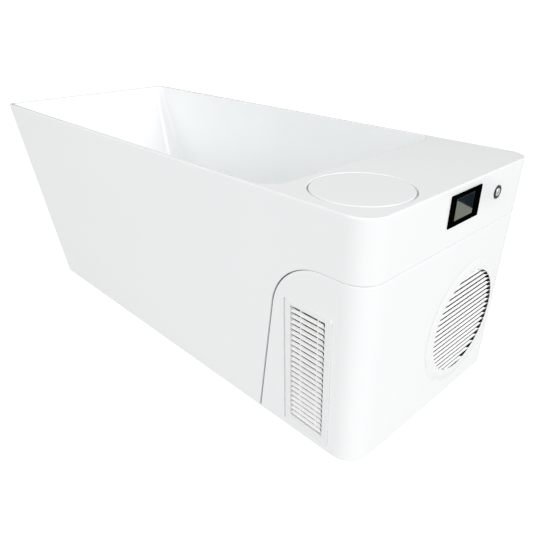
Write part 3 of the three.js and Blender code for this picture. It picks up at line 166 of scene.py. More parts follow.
class Moulding:
    """Gathers rows of points and the faces between them, and hands the whole over as one mesh."""

    def __init__(self):
        self.points = []
        self.faces = []
        self.skins = []
        self.count = 0

    def row(self, points):
        """Adds a row of points and gives back their numbers."""
        points = np.asarray(points, float).reshape(-1, 3)
        self.points.append(points)
        numbers = np.arange(self.count, self.count + len(points))
        self.count += len(points)
        return numbers

    def faced(self, faces, skin):
        """Adds faces of one kind with one finish."""
        self.faces.append(faces)
        self.skins.append(np.full(len(faces), skin))

    def band(self, one, two, around=True, skin=0):
        """Four-cornered faces between two rows with as many points."""
        if around:
            quads = np.stack([one, np.roll(one, -1), np.roll(two, -1), two], 1)
        else:
            quads = np.stack([one[:-1], one[1:], two[1:], two[:-1]], 1)
        self.faced(quads, skin)

    def bands(self, rows, around=True, skin=0):
        """Bands through a list of rows, each next to the one before it."""
        for one, two in zip(rows[:-1], rows[1:]):
            self.band(one, two, around, skin)

    def cone(self, rim, tip, skin=0):
        """Fan of triangles from a row to one point."""
        self.faced(np.stack([rim, np.roll(rim, -1), np.full(len(rim), tip)], 1), skin)

    def fill(self, loops, flat, facing=1, ties=(), skin=0):
        """Triangles over the region that closed loops enclose in a flat drawing, where a loop inside
        another is a hole. Ties are pairs of points that a triangle's edge has to join."""
        numbers = np.concatenate(loops)
        edges = []
        start = 0
        for loop in loops:
            here = np.arange(start, start + len(loop))
            edges.append(np.stack([here, np.roll(here, -1)], 1))
            start += len(loop)
        outline = np.concatenate(edges)
        tied = np.array(ties, int).reshape(-1, 2)
        joined = np.concatenate([outline, tied]).tolist()
        found = delaunay_2d_cdt(flat.tolist(), joined, [], 0, 1e-7)
        spots = np.array(found[0], float)
        source = np.array([old[0] if old else -1 for old in found[3]])
        triangles = np.array(found[2])
        middle = spots[triangles].mean(1)
        a = flat[outline[:, 0]]
        b = flat[outline[:, 1]]
        rising = (a[None, :, 1] > middle[:, None, 1]) != (b[None, :, 1] > middle[:, None, 1])
        slope = (b[:, 0] - a[:, 0]) / np.where(b[:, 1] == a[:, 1], 1.0, b[:, 1] - a[:, 1])
        crossing = a[None, :, 0] + (middle[:, None, 1] - a[None, :, 1]) * slope[None, :]
        inside = (rising & (crossing > middle[:, None, 0])).sum(1) % 2 == 1
        kept = triangles[inside]
        leg = spots[kept][:, 1:] - spots[kept][:, :1]
        turn = leg[:, 0, 0] * leg[:, 1, 1] - leg[:, 0, 1] * leg[:, 1, 0]
        wrong = turn * facing < 0
        kept[wrong] = kept[wrong][:, ::-1]
        self.faced(numbers[source[kept]], skin)

    def place(self, name, finishes, body, replaced, slot, sharp=38.0):
        """Makes the mesh in metres in the frame of the part, shades it smooth up to a sharp angle, hangs it
        under the empty of the body that carries it and hides the node it stands for."""
        places = np.concatenate(self.points) * MM + drawing_shift
        corners = np.concatenate([faces.reshape(-1) for faces in self.faces])
        sizes = np.concatenate([np.full(len(faces), faces.shape[1]) for faces in self.faces])
        mesh = bpy.data.meshes.new(name)
        mesh.vertices.add(len(places))
        mesh.vertices.foreach_set("co", places.astype(np.float32).reshape(-1))
        mesh.loops.add(len(corners))
        mesh.loops.foreach_set("vertex_index", corners.astype(np.int32))
        mesh.polygons.add(len(sizes))
        mesh.polygons.foreach_set("loop_start", (np.cumsum(sizes) - sizes).astype(np.int32))
        mesh.polygons.foreach_set("loop_total", sizes.astype(np.int32))
        mesh.polygons.foreach_set("material_index", np.concatenate(self.skins).astype(np.int32))
        mesh.update(calc_edges=True)
        mesh.validate()
        mesh.shade_smooth()
        mesh.set_sharp_from_angle(angle=math.radians(sharp))
        for finish in finishes:
            mesh.materials.append(finish)
        piece = bpy.data.objects.new(name, mesh)
        bpy.context.scene.collection.objects.link(piece)
        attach(piece, body)
        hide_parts(replaced)
        return piece


def finish_material(name, colour, roughness, metallic=0.0, waver=0.02, waver_size=60.0,
                    grain=0.0, grain_size=2.0, rough_waver=0.04, specular=0.5, cells=False):
    """Finish whose colour and roughness waver over the piece, with a soft noise or from cell to cell like
    zinc, and whose surface is lifted by a finer noise. Noise sizes are in millimetres."""
    made = bpy.data.materials.new(name)
    made.use_nodes = True
    tree = made.node_tree
    shader = tree.nodes["Principled BSDF"]
    shader.inputs["Metallic"].default_value = metallic
    shader.inputs["Specular IOR Level"].default_value = specular
    where = tree.nodes.new("ShaderNodeTexCoord")
    if cells:
        cloud = tree.nodes.new("ShaderNodeTexVoronoi")
        varied = cloud.outputs["Color"]
    else:
        cloud = tree.nodes.new("ShaderNodeTexNoise")
        cloud.inputs["Detail"].default_value = 3.0
        varied = cloud.outputs["Fac"]
    cloud.inputs["Scale"].default_value = 1.0 / (waver_size * MM)
    tree.links.new(where.outputs["Object"], cloud.inputs["Vector"])
    shades = tree.nodes.new("ShaderNodeValToRGB")
    shades.color_ramp.elements[0].position = 0.3
    shades.color_ramp.elements[1].position = 0.7
    darker = [value * (1 - waver) for value in colour]
    lighter = [min(value * (1 + waver), 1.0) for value in colour]
    shades.color_ramp.elements[0].color = (*darker, 1.0)
    shades.color_ramp.elements[1].color = (*lighter, 1.0)
    tree.links.new(varied, shades.inputs["Fac"])
    tree.links.new(shades.outputs["Color"], shader.inputs["Base Color"])
    polish = tree.nodes.new("ShaderNodeMapRange")
    polish.inputs["From Min"].default_value = 0.3
    polish.inputs["From Max"].default_value = 0.7
    polish.inputs["To Min"].default_value = max(roughness - rough_waver, 0.01)
    polish.inputs["To Max"].default_value = min(roughness + rough_waver, 1.0)
    tree.links.new(varied, polish.inputs["Value"])
    tree.links.new(polish.outputs["Result"], shader.inputs["Roughness"])
    if grain > 0.0:
        fine = tree.nodes.new("ShaderNodeTexNoise")
        fine.inputs["Scale"].default_value = 1.0 / (grain_size * MM)
        fine.inputs["Detail"].default_value = 2.0
        tree.links.new(where.outputs["Object"], fine.inputs["Vector"])
        lift = tree.nodes.new("ShaderNodeBump")
        lift.inputs["Strength"].default_value = grain
        lift.inputs["Distance"].default_value = 0.2 * grain_size * MM
        tree.links.new(fine.outputs["Fac"], lift.inputs["Height"])
        tree.links.new(lift.outputs["Normal"], shader.inputs["Normal"])
    return made


galvanised_steel = finish_material(
    "galvanised_steel", (0.50, 0.52, 0.53), 0.42, metallic=1.0, waver=0.16, waver_size=9.0,
    grain=0.15, grain_size=1.2, rough_waver=0.08, cells=True)


def drawn_box(name):
    """Lowest and highest corner of a solid in the millimetres of the drawing."""
    low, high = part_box(name)
    return (np.array(low) - drawing_shift) / MM, (np.array(high) - drawing_shift) / MM


def wall_frame(origin, right, up):
    """Gives a function that carries places drawn on a wall, across, up and outwards, to the tub."""
    right = np.array(right, float) / np.linalg.norm(right)
    up = np.array(up, float) / np.linalg.norm(up)
    axes = np.stack([right, up, np.cross(right, up)])

    def carry(across, rise, proud):
        return np.stack(np.broadcast_arrays(across, rise, proud), -1) @ axes + np.array(origin)

    return carry


def axis_frame(origin, way):
    """Frame of drawing about an axis through a place: across and up are square to it, outwards along it."""
    way = np.array(way, float) / np.linalg.norm(way)
    side = np.array([1.0, 0.0, 0.0]) if abs(way[2]) > 0.9 else np.cross(way, [0.0, 0.0, 1.0])
    return wall_frame(origin, side, np.cross(way, side))


def upright(x, y):
    """Frame of drawing about an upright axis."""
    return axis_frame((x, y, 0.0), (0, 0, 1))


def rolled(radius, start=0.0, stop=1.0):
    """Steps of a quarter-round: how far along and how far up, from one side to the other."""
    turn = np.linspace(start, stop, round_cuts + 1) * np.pi / 2
    return radius * (1 - np.cos(turn)), radius * np.sin(turn)


def softened(points, radius, cuts=5, closed=True):
    """Line of points with each corner swapped for an arc that touches both of its legs."""
    points = np.asarray(points, float)
    back = np.roll(points, 1, 0) - points
    ahead = np.roll(points, -1, 0) - points
    back_length = np.linalg.norm(back, axis=1)
    ahead_length = np.linalg.norm(ahead, axis=1)
    back = back / back_length[:, None]
    ahead = ahead / ahead_length[:, None]
    half = np.arccos(np.clip((back * ahead).sum(1), -1.0, 1.0)) / 2
    half = np.clip(half, 1e-3, np.pi / 2 - 1e-4)
    reach = np.minimum(radius / np.tan(half), 0.49 * np.minimum(back_length, ahead_length))
    middle = back + ahead
    middle = middle / np.maximum(np.linalg.norm(middle, axis=1), 1e-9)[:, None]
    centre = points + middle * (reach / np.cos(half))[:, None]
    start = points + back * reach[:, None] - centre
    stop = points + ahead * reach[:, None] - centre
    swing = np.pi - 2 * half
    share = np.linspace(0.0, 1.0, cuts + 1)
    first = np.sin((1 - share) * swing[:, None]) / np.sin(swing)[:, None]
    second = np.sin(share * swing[:, None]) / np.sin(swing)[:, None]
    arcs = centre[:, None] + first[..., None] * start[:, None] + second[..., None] * stop[:, None]
    if closed:
        return arcs.reshape(-1, points.shape[1])
    return np.concatenate([points[:1], arcs[1:-1].reshape(-1, points.shape[1]), points[-1:]])


def box_outline(half_width, half_height, radius, cuts=6):
    """Rectangle with round corners, drawn counter-clockwise."""
    corners = np.array([[1, -1], [1, 1], [-1, 1], [-1, -1]]) * [half_width, half_height]
    return softened(corners, radius, cuts)


def square_tube(name, way):
    """Rounded square carried along a solid's length, and the same square drawn in for the bore."""
    tube = Moulding()
    low, high = drawn_box(name)
    way = np.array(way, float)
    length = (high - low) @ way
    half = (high - low)[2] / 2
    carry = axis_frame((low + high) / 2 - way * length / 2, way)
    rows = []
    for inset, radius, along in (
        (0.0, tube_round, 0.0), (0.0, tube_round, length),
        (tube_wall, tube_bore_round, length), (tube_wall, tube_bore_round, 0.0),
    ):
        line = box_outline(half - inset, half - inset, radius)
        rows.append(tube.row(carry(line[:, 0], line[:, 1], along)))
    tube.bands(rows + rows[:1])
    return tube


for number in (1, 2):
    square_tube(f"base_rail_{number}", (1, 0, 0)).place(
        f"rail_tube_{number}", [galvanised_steel], "tub", f"base_rail_{number}", "galvanised_steel")
for number in (1, 2, 3, 4):
    square_tube(f"base_crossbar_{number}", (0, 1, 0)).place(
        f"crossbar_tube_{number}", [galvanised_steel], "tub", f"base_crossbar_{number}",
        "galvanised_steel")

# Levelling feet: six rubber pads, each moulded round the head of a zinc-plated stud with a hexagon to turn
# it by. The studs screw up into the rails.
foot_pad = [[0, 0], [28, 0], [28, 6], [11, 11.5], [0, 11.5]]
foot_stud = [[0, 20], [6, 20], [6, 43], [0, 43]]
foot_hexagon = 11.0
foot_hexagon_low = 11.0
foot_hexagon_high = 24.4
foot_round = 1.5

black_rubber = finish_material(
    "black_rubber", (0.012, 0.012, 0.012), 0.72, waver=0.25, waver_size=6.0, grain=0.3, grain_size=0.9)


def turned(moulding, profile, carry, sides=64, skin=0, soft=0.0, closed=False):
    """Surface of revolution: a line of radii and heights, from the foot up the outside to the top, with its
    corners rounded, carried round an axis. A radius of nought closes in a point."""
    line = softened(profile, soft, 4, closed) if soft > 0.0 else np.asarray(profile, float)
    turn = np.arange(sides) * (2 * np.pi / sides)
    rows = []
    for radius, height in line:
        spread = turn if radius > 1e-6 else turn[:1]
        rows.append(moulding.row(carry(radius * np.cos(spread), radius * np.sin(spread), height)))
    for one, two in zip(rows, rows[1:] + rows[:1] if closed else rows[1:]):
        if len(one) == 1:
            moulding.cone(two[::-1], one[0], skin)
        elif len(two) == 1:
            moulding.cone(one, two[0], skin)
        else:
            moulding.band(one, two, skin=skin)


def slab(moulding, outline, carry, low, high, edge, skin=0):
    """Outline carried from one level to another and drawn in by a quarter-round at both, closed over its
    middle."""
    ahead = np.roll(outline, -1, 0) - outline
    ahead = ahead / np.maximum(np.linalg.norm(ahead, axis=1), 1e-9)[:, None]
    ahead = ahead + np.roll(ahead, 1, 0)
    ahead = ahead / np.linalg.norm(ahead, axis=1)[:, None]
    inward = np.stack([-ahead[:, 1], ahead[:, 0]], 1)
    along, up = rolled(edge)
    insets = np.concatenate([along[::-1], along])
    levels = np.concatenate([low + edge - up[::-1], high - edge + up])
    rows = []
    for inset, level in zip(insets, levels):
        line = outline + inward * inset
        rows.append(moulding.row(carry(line[:, 0], line[:, 1], level)))
    moulding.bands(rows, skin=skin)
    middle = outline.mean(0)
    ends = moulding.row(carry(middle[0], middle[1], np.array([low, high])))
    moulding.cone(rows[0][::-1], ends[0], skin)
    moulding.cone(rows[-1], ends[1], skin)


def levelling_foot(name):
    """Turned pad and stud, and a hexagon carried up between them."""
    foot = Moulding()
    low, high = drawn_box(name)
    carry = upright(*((low + high) / 2)[:2])
    turned(foot, foot_pad, carry, soft=foot_round)
    turned(foot, foot_stud, carry, 32, 1, 0.6)
    turn = np.arange(6) * np.pi / 3
    hexagon = foot_hexagon * np.stack([np.cos(turn), np.sin(turn)], 1)
    slab(foot, softened(hexagon, 0.8, 3), carry, foot_hexagon_low, foot_hexagon_high, 0.6, 1)
    return foot


for number in (1, 2, 3, 4, 5, 6):
    levelling_foot(f"levelling_foot_{number}").place(
        f"foot_pad_{number}", [black_rubber, galvanised_steel], f"foot_{number}",
        f"levelling_foot_{number}", "black_rubber")

# Basin: one vacuum-formed sheet of white acrylic that makes the bath, its rolled rim and the flat deck over
# the chiller. The lid hole and the drain hole are routed out of it, and its back is rough laminate.
tub_end = 850.0
rim_half = 345.0
rim_top = 630.0
skirt_foot = 10.0
shell_height = rim_top - skirt_foot
head_lean = 250.0
side_lean = 18.0
end_lean = 6.0
head_corner = 20.0
chiller_corner = 60.0
rim_width = 12.0
rim_thickness = 8.0
rim_round = 3.2
mouth_round = 1.6
deck_length = 277.0
basin_floor = 110.6
basin_depth = rim_top - basin_floor
basin_head_lean = 235.0
basin_side_lean = 40.0
basin_deck_lean = 20.0
basin_head_corner = 25.0
basin_deck_corner = 60.0
basin_floor_corner = 95.0
basin_floor_round = 60.0
sheet = 5.0
lid_y = -195.0
lid_hole = 117.0
hole_round = 2.5
drain_hole = 22.4
shade_strip = 1.5
corner_cuts = 24

drain_low, drain_high = drawn_box("drain_fitting")
drain_x = (drain_low[0] + drain_high[0]) / 2
white_acrylic = finish_material(
    "white_acrylic", (0.918, 0.934, 0.938), 0.14, waver=0.006, waver_size=300.0,
    grain=0.02, grain_size=14.0, rough_waver=0.03)
# Dark laminate for the backs of the acrylic sheets. On cut edges, on the lip behind the cover's edge and
# inside the cover it is also painted shade, darkening the gaps, openings and the bay.
laminate_and_painted_shade = finish_material(
    "laminate_and_painted_shade", (0.10, 0.10, 0.098), 0.8, waver=0.25, waver_size=25.0,
    grain=0.5, grain_size=3.0)


def shell_half(z):
    """Half width of the outer shell at a level: it draws in evenly from rim to skirt."""
    return rim_half - side_lean * (rim_top - z) / shell_height


def shell_end(z):
    """Place of the chiller end wall at a level."""
    return tub_end - end_lean * (rim_top - z) / shell_height


def shell_head(z):
    """Place of the leaning head wall at a level."""
    return -tub_end + head_lean * (rim_top - z) / shell_height


def tub_loop(left, right, half, head_radius, deck_radius, z):
    """Level outline: a quarter circle at each corner, with one spare point a short way along the straight
    sides from each, so that the shading of a flat wall stays flat."""
    turn = np.linspace(0.0, np.pi / 2, corner_cuts + 1)
    middles = [
        (right - deck_radius, -half + deck_radius, deck_radius, -np.pi / 2),
        (right - deck_radius, half - deck_radius, deck_radius, 0.0),
        (left + head_radius, half - head_radius, head_radius, np.pi / 2),
        (left + head_radius, -half + head_radius, head_radius, np.pi),
    ]
    rows = []
    for x, y, radius, start in middles:
        arc = np.stack([x + radius * np.cos(turn + start), y + radius * np.sin(turn + start)], 1)
        enter = np.array([-np.sin(start), np.cos(start)]) * 2 * shade_strip
        leave = np.array([-np.cos(start), -np.sin(start)]) * 2 * shade_strip
        rows += [arc[:1] - enter, arc, arc[-1:] + leave]
    flat = np.concatenate(rows)
    return np.column_stack([flat, np.full(len(flat), z)])


def shell_loop(z, inset):
    """Outline of the outer shell at a level, drawn in by an inset."""
    return tub_loop(
        shell_head(z) + inset, shell_end(z) - inset, shell_half(z) - inset,
        max(head_corner - inset, 1.0), max(chiller_corner - inset, 1.0), z,
    )


def basin_loop(z, grow):
    """Outline of the basin's inner face at a level, moved outwards: its walls lean in and its corners
    open out evenly from the rim to the floor."""
    drop = (rim_top - z) / basin_depth
    head_radius = basin_head_corner + (basin_floor_corner - basin_head_corner) * drop
    deck_radius = basin_deck_corner + (basin_floor_corner - basin_deck_corner) * drop
    return tub_loop(
        -tub_end + rim_width + basin_head_lean * drop - grow,
        tub_end - deck_length - basin_deck_lean * drop + grow,
        rim_half - rim_width - basin_side_lean * drop + grow,
        head_radius + grow, deck_radius + grow, z,
    )


def basin_foot(low, grow, radius, cuts):
    """Rows of the round between the basin's floor and its walls, from the floor up."""
    return [(low + radius * (1 - np.cos(turn)), grow - radius * (1 - np.sin(turn)))
            for turn in np.linspace(0.0, np.pi / 2, cuts)]


def ring(x, y, radius, z, sides=160):
    """Level circle."""
    turn = np.arange(sides) * (2 * np.pi / sides)
    return np.stack(
        [x + radius * np.cos(turn), y + radius * np.sin(turn), np.full(sides, z)], 1)


def inner_basin():
    """Rows from the flange's outer edge over the rim, down the inner walls to the floor, and back up the
    outer walls to the underside of the deck. Flat regions between rows are filled."""
    basin = Moulding()
    inset, rise = rolled(rim_round)
    shoulder = rim_top - rim_round
    flange_bottom = rim_top - rim_thickness
    edge = [basin.row(shell_loop(flange_bottom, 0.0))]
    edge += [basin.row(shell_loop(shoulder + up, along)) for along, up in zip(inset, rise)]
    edge.append(basin.row(shell_loop(rim_top, rim_round + shade_strip)))
    basin.bands(edge)
    inset, rise = rolled(mouth_round)
    shoulder = rim_top - mouth_round
    mouth = [basin.row(basin_loop(rim_top, mouth_round + shade_strip))]
    mouth += [basin.row(basin_loop(shoulder + up, along))
              for along, up in zip(inset[::-1], rise[::-1])]
    wall_foot = basin_floor + basin_floor_round
    for z in np.linspace(shoulder, wall_foot, 9)[1:-1]:
        mouth.append(basin.row(basin_loop(z, 0.0)))
    for z, grow in basin_foot(basin_floor, 0.0, basin_floor_round, 15)[::-1]:
        mouth.append(basin.row(basin_loop(z, grow)))
    mouth.append(basin.row(basin_loop(basin_floor, -basin_floor_round - shade_strip)))
    basin.bands(mouth)
    hole = [basin.row(ring(lid_x, lid_y, lid_hole + hole_round + shade_strip, rim_top))]
    along, up = rolled(hole_round, 1.0, 0.0)
    hole += [basin.row(ring(lid_x, lid_y, lid_hole + a, rim_top - hole_round + u))
             for a, u in zip(along, up)]
    hole.append(basin.row(ring(lid_x, lid_y, lid_hole, flange_bottom)))
    basin.bands(hole)
    drain = [basin.row(ring(drain_x, 0.0, drain_hole, basin_floor, 48)),
             basin.row(ring(drain_x, 0.0, drain_hole, basin_floor - sheet, 48))]
    basin.bands(drain)
    outside = [basin.row(basin_loop(z, grow))
               for z, grow in basin_foot(basin_floor - sheet, sheet, basin_floor_round + sheet, 9)]
    outside.append(basin.row(basin_loop(flange_bottom, sheet)))
    basin.bands(outside, skin=1)
    places = np.concatenate(basin.points)
    for loops, facing, skin in (
        ([edge[-1], mouth[0], hole[0]], 1, 0),
        ([mouth[-1], drain[0]], 1, 0),
        ([outside[0], drain[1]], -1, 1),
        ([edge[0], outside[-1], hole[-1]], -1, 1),
    ):
        basin.fill(loops, places[np.concatenate(loops)][:, :2], facing, skin=skin)
    return basin


inner_basin().place("basin", [white_acrylic, laminate_and_painted_shade], "tub", "inner_basin", "white_acrylic")

# Drain: a chromed brass waste screwed through the basin's floor, closed by a plug that pops up, and a grey
# plastic pipe under the floor to a capped outlet with a nut, low on the far side.
drain_pipe_z = 70.0
drain_pipe_radius = 12.0
drain_profile = [[0, 55], [22, 55], [22, 110.9], [36, 110.9], [36, 112.9], [30, 114.9], [19, 108.6],
                 [19, 79.6], [0, 79.6]]
plug_profile = [[0, 98.6], [6, 98.6], [6, 115.5], [28, 115.5], [30, 118.5], [18, 121.5], [0, 121.5]]
outlet_profile = [[0, -15], [22, -15], [22, -5.3], [14, -5.3], [14, 0.3], [22, 0.3], [22, 3], [14, 6],
                  [14, 10], [0, 10]]

chrome_metal = finish_material(
    "chrome_metal", (0.62, 0.63, 0.64), 0.1, metallic=1.0, waver=0.04, waver_size=12.0)
grey_plastic = finish_material(
    "grey_plastic", (0.16, 0.175, 0.19), 0.48, waver=0.06, waver_size=30.0, grain=0.12, grain_size=1.0)


def turned_piece(profile, carry, soft, sides=64):
    """One surface of revolution as a piece of its own."""
    piece = Moulding()
    turned(piece, profile, carry, sides, 0, soft)
    return piece


def far_side_frame(x, z):
    """Frame of drawing on the far side of the apron."""
    return wall_frame((x, shell_half(z), z), (-1, 0, 0), (0, side_lean / shell_height, 1))


turned_piece(drain_profile, upright(drain_x, 0.0), 1.0, 72).place(
    "drain_waste", [chrome_metal], "tub", "drain_fitting", "chrome_metal")
turned_piece(plug_profile, upright(drain_x, 0.0), 1.6, 72).place(
    "drain_stopper", [chrome_metal], "plug", "drain_plug", "chrome_metal")
pipe_low, pipe_high = drawn_box("drain_pipe")
drain_pipe_profile = [[0, pipe_low[1]], [drain_pipe_radius, pipe_low[1]],
                      [drain_pipe_radius, pipe_high[1]], [0, pipe_high[1]]]
turned_piece(drain_pipe_profile, axis_frame((drain_x, 0.0, drain_pipe_z), (0, 1, 0)), 0.8, 40).place(
    "drain_line", [grey_plastic], "tub", "drain_pipe", "grey_plastic")
turned_piece(outlet_profile, far_side_frame(drain_x, drain_pipe_z), 0.8).place(
    "drain_cap", [grey_plastic], "tub", "drain_outlet", "grey_plastic")

# Insulation jacket: a block of cream polyurethane foam round the basin's floor and walls, cast against them.
# It is trimmed where the apron comes near, and has a hole for the drain.
jacket_low = 85.6
jacket_high = 560.0
jacket_inner = sheet + 0.3
jacket_outer = 25.0
jacket_drain_hole = 36.0

foam = finish_material(
    "foam", (0.66, 0.58, 0.34), 0.92, waver=0.12, waver_size=14.0, grain=0.8, grain_size=3.5, specular=0.2)


def insulation_jacket():
    """The basin's outlines moved outwards twice, joined over their tops, with a floor in each. The outer
    ones are held inside the apron."""
    jacket = Moulding()

    def kept_in(z, grow):
        """Outline moved outwards, held back from the apron."""
        line = basin_loop(z, grow)
        half = shell_half(z) - jacket_inner
        line[:, 0] = np.maximum(line[:, 0], shell_head(z) + jacket_inner)
        line[:, 1] = np.clip(line[:, 1], -half, half)
        return jacket.row(line)

    walls = np.linspace(0.0, 1.0, 6)[1:]
    outer = [kept_in(z, grow) for z, grow in basin_foot(
        jacket_low, jacket_outer, basin_floor_round + jacket_outer, 8)]
    outer_foot = jacket_low + basin_floor_round + jacket_outer
    outer += [kept_in(outer_foot + (jacket_high - outer_foot) * share, jacket_outer) for share in walls]
    inner_low = basin_floor - jacket_inner
    inner = [kept_in(z, grow) for z, grow in basin_foot(
        inner_low, jacket_inner, basin_floor_round + jacket_inner, 8)]
    inner_foot = inner_low + basin_floor_round + jacket_inner
    inner += [kept_in(inner_foot + (jacket_high - inner_foot) * share, jacket_inner) for share in walls]
    jacket.bands(outer + inner[::-1])
    drain = [jacket.row(ring(drain_x, 0.0, jacket_drain_hole, z, 48)) for z in (inner_low, jacket_low)]
    jacket.bands(drain)
    places = np.concatenate(jacket.points)
    for loops, facing in (([inner[0], drain[0]], 1), ([outer[0], drain[1]], -1)):
        jacket.fill(loops, places[np.concatenate(loops)][:, :2], facing)
    return jacket


jacket_foam = insulation_jacket().place("jacket_foam", [foam], "tub", "insulation_jacket", "foam")

# Water fittings: the slotted suction strainer and the return jet, both white plastic, each screwed through
# the basin's wall under the deck with a nut behind the jacket.
strainer_place = (-103.0, 230.0)
nozzle_place = (40.0, 470.0)
fitting_tail = [[0, -53.3], [14, -53.3], [14, -35.3], [22, -35.3], [22, -25.3], [14, -25.3], [14, 0.3]]
nozzle_face = [[32, 0.3], [30.5, 3], [27, 5], [20, 8.6], [17.5, 8.6], [16.5, 7], [15, 8.2], [11, 10],
               [8.5, 9], [7, 2], [0, 2]]
strainer_radius = 45.0
strainer_proud = 10.0
strainer_slots = 18
slot_start = 13.0
slot_stop = 37.0
slot_depth = 3.0
slot_share = 0.42

white_plastic = finish_material(
    "white_plastic", (0.90, 0.908, 0.91), 0.28, waver=0.008, waver_size=40.0)


def basin_wall_frame(y, z):
    """Frame of drawing on the basin's wall under the deck, outwards into the basin."""
    lean = basin_deck_lean / basin_depth
    x = tub_end - deck_length - lean * (rim_top - z)
    return wall_frame((x, y, z), (0, -1, 0), (lean, 0, 1))


def suction_strainer():
    """Tail turned about the wall's axis. Head: a low dome over radius and angle, sunk along spokes."""
    strainer = Moulding()
    carry = basin_wall_frame(*strainer_place)
    turned(strainer, fitting_tail + [[strainer_radius, 0.3]], carry)
    spokes = strainer_slots * 12
    turn = np.arange(spokes) * (2 * np.pi / spokes)
    wave = np.abs((turn * strainer_slots / (2 * np.pi)) % 1.0 - 0.5)
    slot = np.clip((slot_share / 2 - wave) / 0.08 + 0.5, 0.0, 1.0)
    rows = []
    for radius in np.concatenate([np.linspace(strainer_radius, 2.0, 36)]):
        lift = strainer_proud * (1 - (radius / strainer_radius) ** 4) + 0.3 * (radius / strainer_radius)
        window = np.clip(min(radius - slot_start, slot_stop - radius) / 1.5 + 0.5, 0.0, 1.0)
        rows.append(strainer.row(carry(
            radius * np.cos(turn), radius * np.sin(turn), lift - slot_depth * slot * window)))
    strainer.bands(rows)
    tip = strainer.row(carry(0.0, 0.0, strainer_proud))
    strainer.cone(rows[-1], tip[0])
    return strainer


suction_strainer().place("strainer_cap", [white_plastic], "tub", "suction_strainer", "white_plastic", 50.0)
turned_piece(fitting_tail + nozzle_face, basin_wall_frame(*nozzle_place), 0.5).place(
    "jet_nozzle", [white_plastic], "tub", "return_nozzle", "white_plastic")

# Apron: the outer skin of the tub, a second white acrylic sheet folded round it and bonded under the rim.
# It is cut away at the chiller end for the service cover, with a lip bonded behind that edge.
cover_foot_x = 537.0
cover_lean = math.radians(8.74)
cover_corner = 150.0
cover_top = 484.0
cover_gap = 4.2
level_close = 3.4
edge_round = 2.2
lip_width = 12.0
lip_thickness = 3.0
lip_gap = 0.3
arc_cuts = 28
end_reach = rim_half - chiller_corner
corner_reach = chiller_corner * np.pi / 2
straight_reach = 300.0
side_reach = 2 * tub_end - chiller_corner - head_corner
head_turn_reach = head_corner * np.pi / 2
head_reach = rim_half - head_corner
corner_start = end_reach + corner_reach
head_turn_start = corner_start + side_reach
head_start = head_turn_start + head_turn_reach
seam = head_start + head_reach


def shell_place(along, z, depth):
    """Point of the shell, so far round it from the middle of the chiller end (near side positive), at a
    level, and so deep behind its face: end wall, round corner, side, head corner and head wall in turn."""
    t = np.abs(along)
    half, end, head = shell_half(z), shell_end(z), shell_head(z)
    corner_x = end - chiller_corner
    turn = (t - end_reach) / chiller_corner
    bent = chiller_corner - depth
    straight_x = corner_x - (t - corner_start)
    left_x = corner_x - straight_reach
    share = (t - corner_start - straight_reach) / (side_reach - straight_reach)
    sloped_x = left_x + share * (head + head_corner - left_x)
    head_turn = (t - head_turn_start) / head_corner
    head_bent = head_corner - depth
    spots = [
        (end - depth, (half - chiller_corner) * t / end_reach),
        (corner_x + bent * np.cos(turn), half - chiller_corner + bent * np.sin(turn)),
        (straight_x, half - depth),
        (sloped_x, half - depth),
        (head + head_corner - head_bent * np.sin(head_turn),
         half - head_corner + head_bent * np.cos(head_turn)),
        (head + depth, (half - head_corner) * (seam - t) / head_reach),
    ]
    reached = [
        t <= end_reach, t <= corner_start, t <= corner_start + straight_reach,
        t <= head_turn_start, t <= head_start,
    ]
    x = np.select(reached, [spot[0] + 0 * t for spot in spots[:-1]], spots[-1][0])
    y = np.select(reached, [spot[1] + 0 * t for spot in spots[:-1]], spots[-1][1])
    return np.stack([x, -np.sign(along) * y, z + 0 * t], -1)


def side_along(x, z):
    """How far round the shell a place on a side lies, at the chiller's end of the side."""
    return corner_start + shell_end(z) - chiller_corner - x


corner_columns = np.concatenate([
    [end_reach - 2 * shade_strip],
    np.linspace(end_reach, corner_start, corner_cuts + 1),
    [corner_start + 2 * shade_strip],
])
head_columns = np.concatenate([
    [head_turn_start - 2 * shade_strip],
    np.linspace(head_turn_start, head_start, corner_cuts // 2 + 1),
    [head_start + 2 * shade_strip],
])


def cover_edge(offset, foot):
    """Edge of the service cover moved outwards by an offset, from its near foot up the leaning front edge,
    round the big corner, level round the end of the tub, and down the same way on the far side. Round the
    corner the gap beyond the edge closes from wide to fine."""
    centre_z = cover_top - cover_corner
    reach = cover_corner + (centre_z - skirt_foot) * math.sin(cover_lean)
    centre_x = cover_foot_x + reach / math.cos(cover_lean)
    turn = np.linspace(np.pi - cover_lean, np.pi / 2, arc_cuts + 1)
    close = level_close if offset > 0 else 0.0
    share = np.linspace(0.0, 1.0, arc_cuts + 1)
    radius = cover_corner + offset - close * share * share * (3 - 2 * share)
    foot_x = (cover_foot_x - offset / math.cos(cover_lean)
              + (foot - skirt_foot) * math.tan(cover_lean))
    x = np.concatenate([[foot_x], centre_x + radius * np.cos(turn)])
    z = np.concatenate([[foot], centre_z + radius * np.sin(turn)])
    along = np.concatenate([side_along(x, z), corner_columns[::-1]])
    z = np.concatenate([z, np.full(len(corner_columns), cover_top + offset - close)])
    return np.concatenate([along, -along[::-1]]), np.concatenate([z, z[::-1]])


def level_edge(z, columns):
    """Level line round the shell at chosen columns, from the near side to the far side."""
    along = np.concatenate([columns[::-1], -columns])
    return along, np.full(len(along), z)


def edge_steps(wall):
    """Rolled edge of a sheet from its back corner to its face: how far in from the edge, and how deep."""
    inward, up = rolled(edge_round)
    inward = np.concatenate([[0.0], inward, [edge_round + 2 * shade_strip]])
    depth = np.concatenate([[wall], edge_round - up, [0.0]])
    return inward, depth


def end_opening(y, z):
    """Outline on the chiller end wall, drawn along the shell."""
    return -y * end_reach / (shell_half(z) - chiller_corner), z


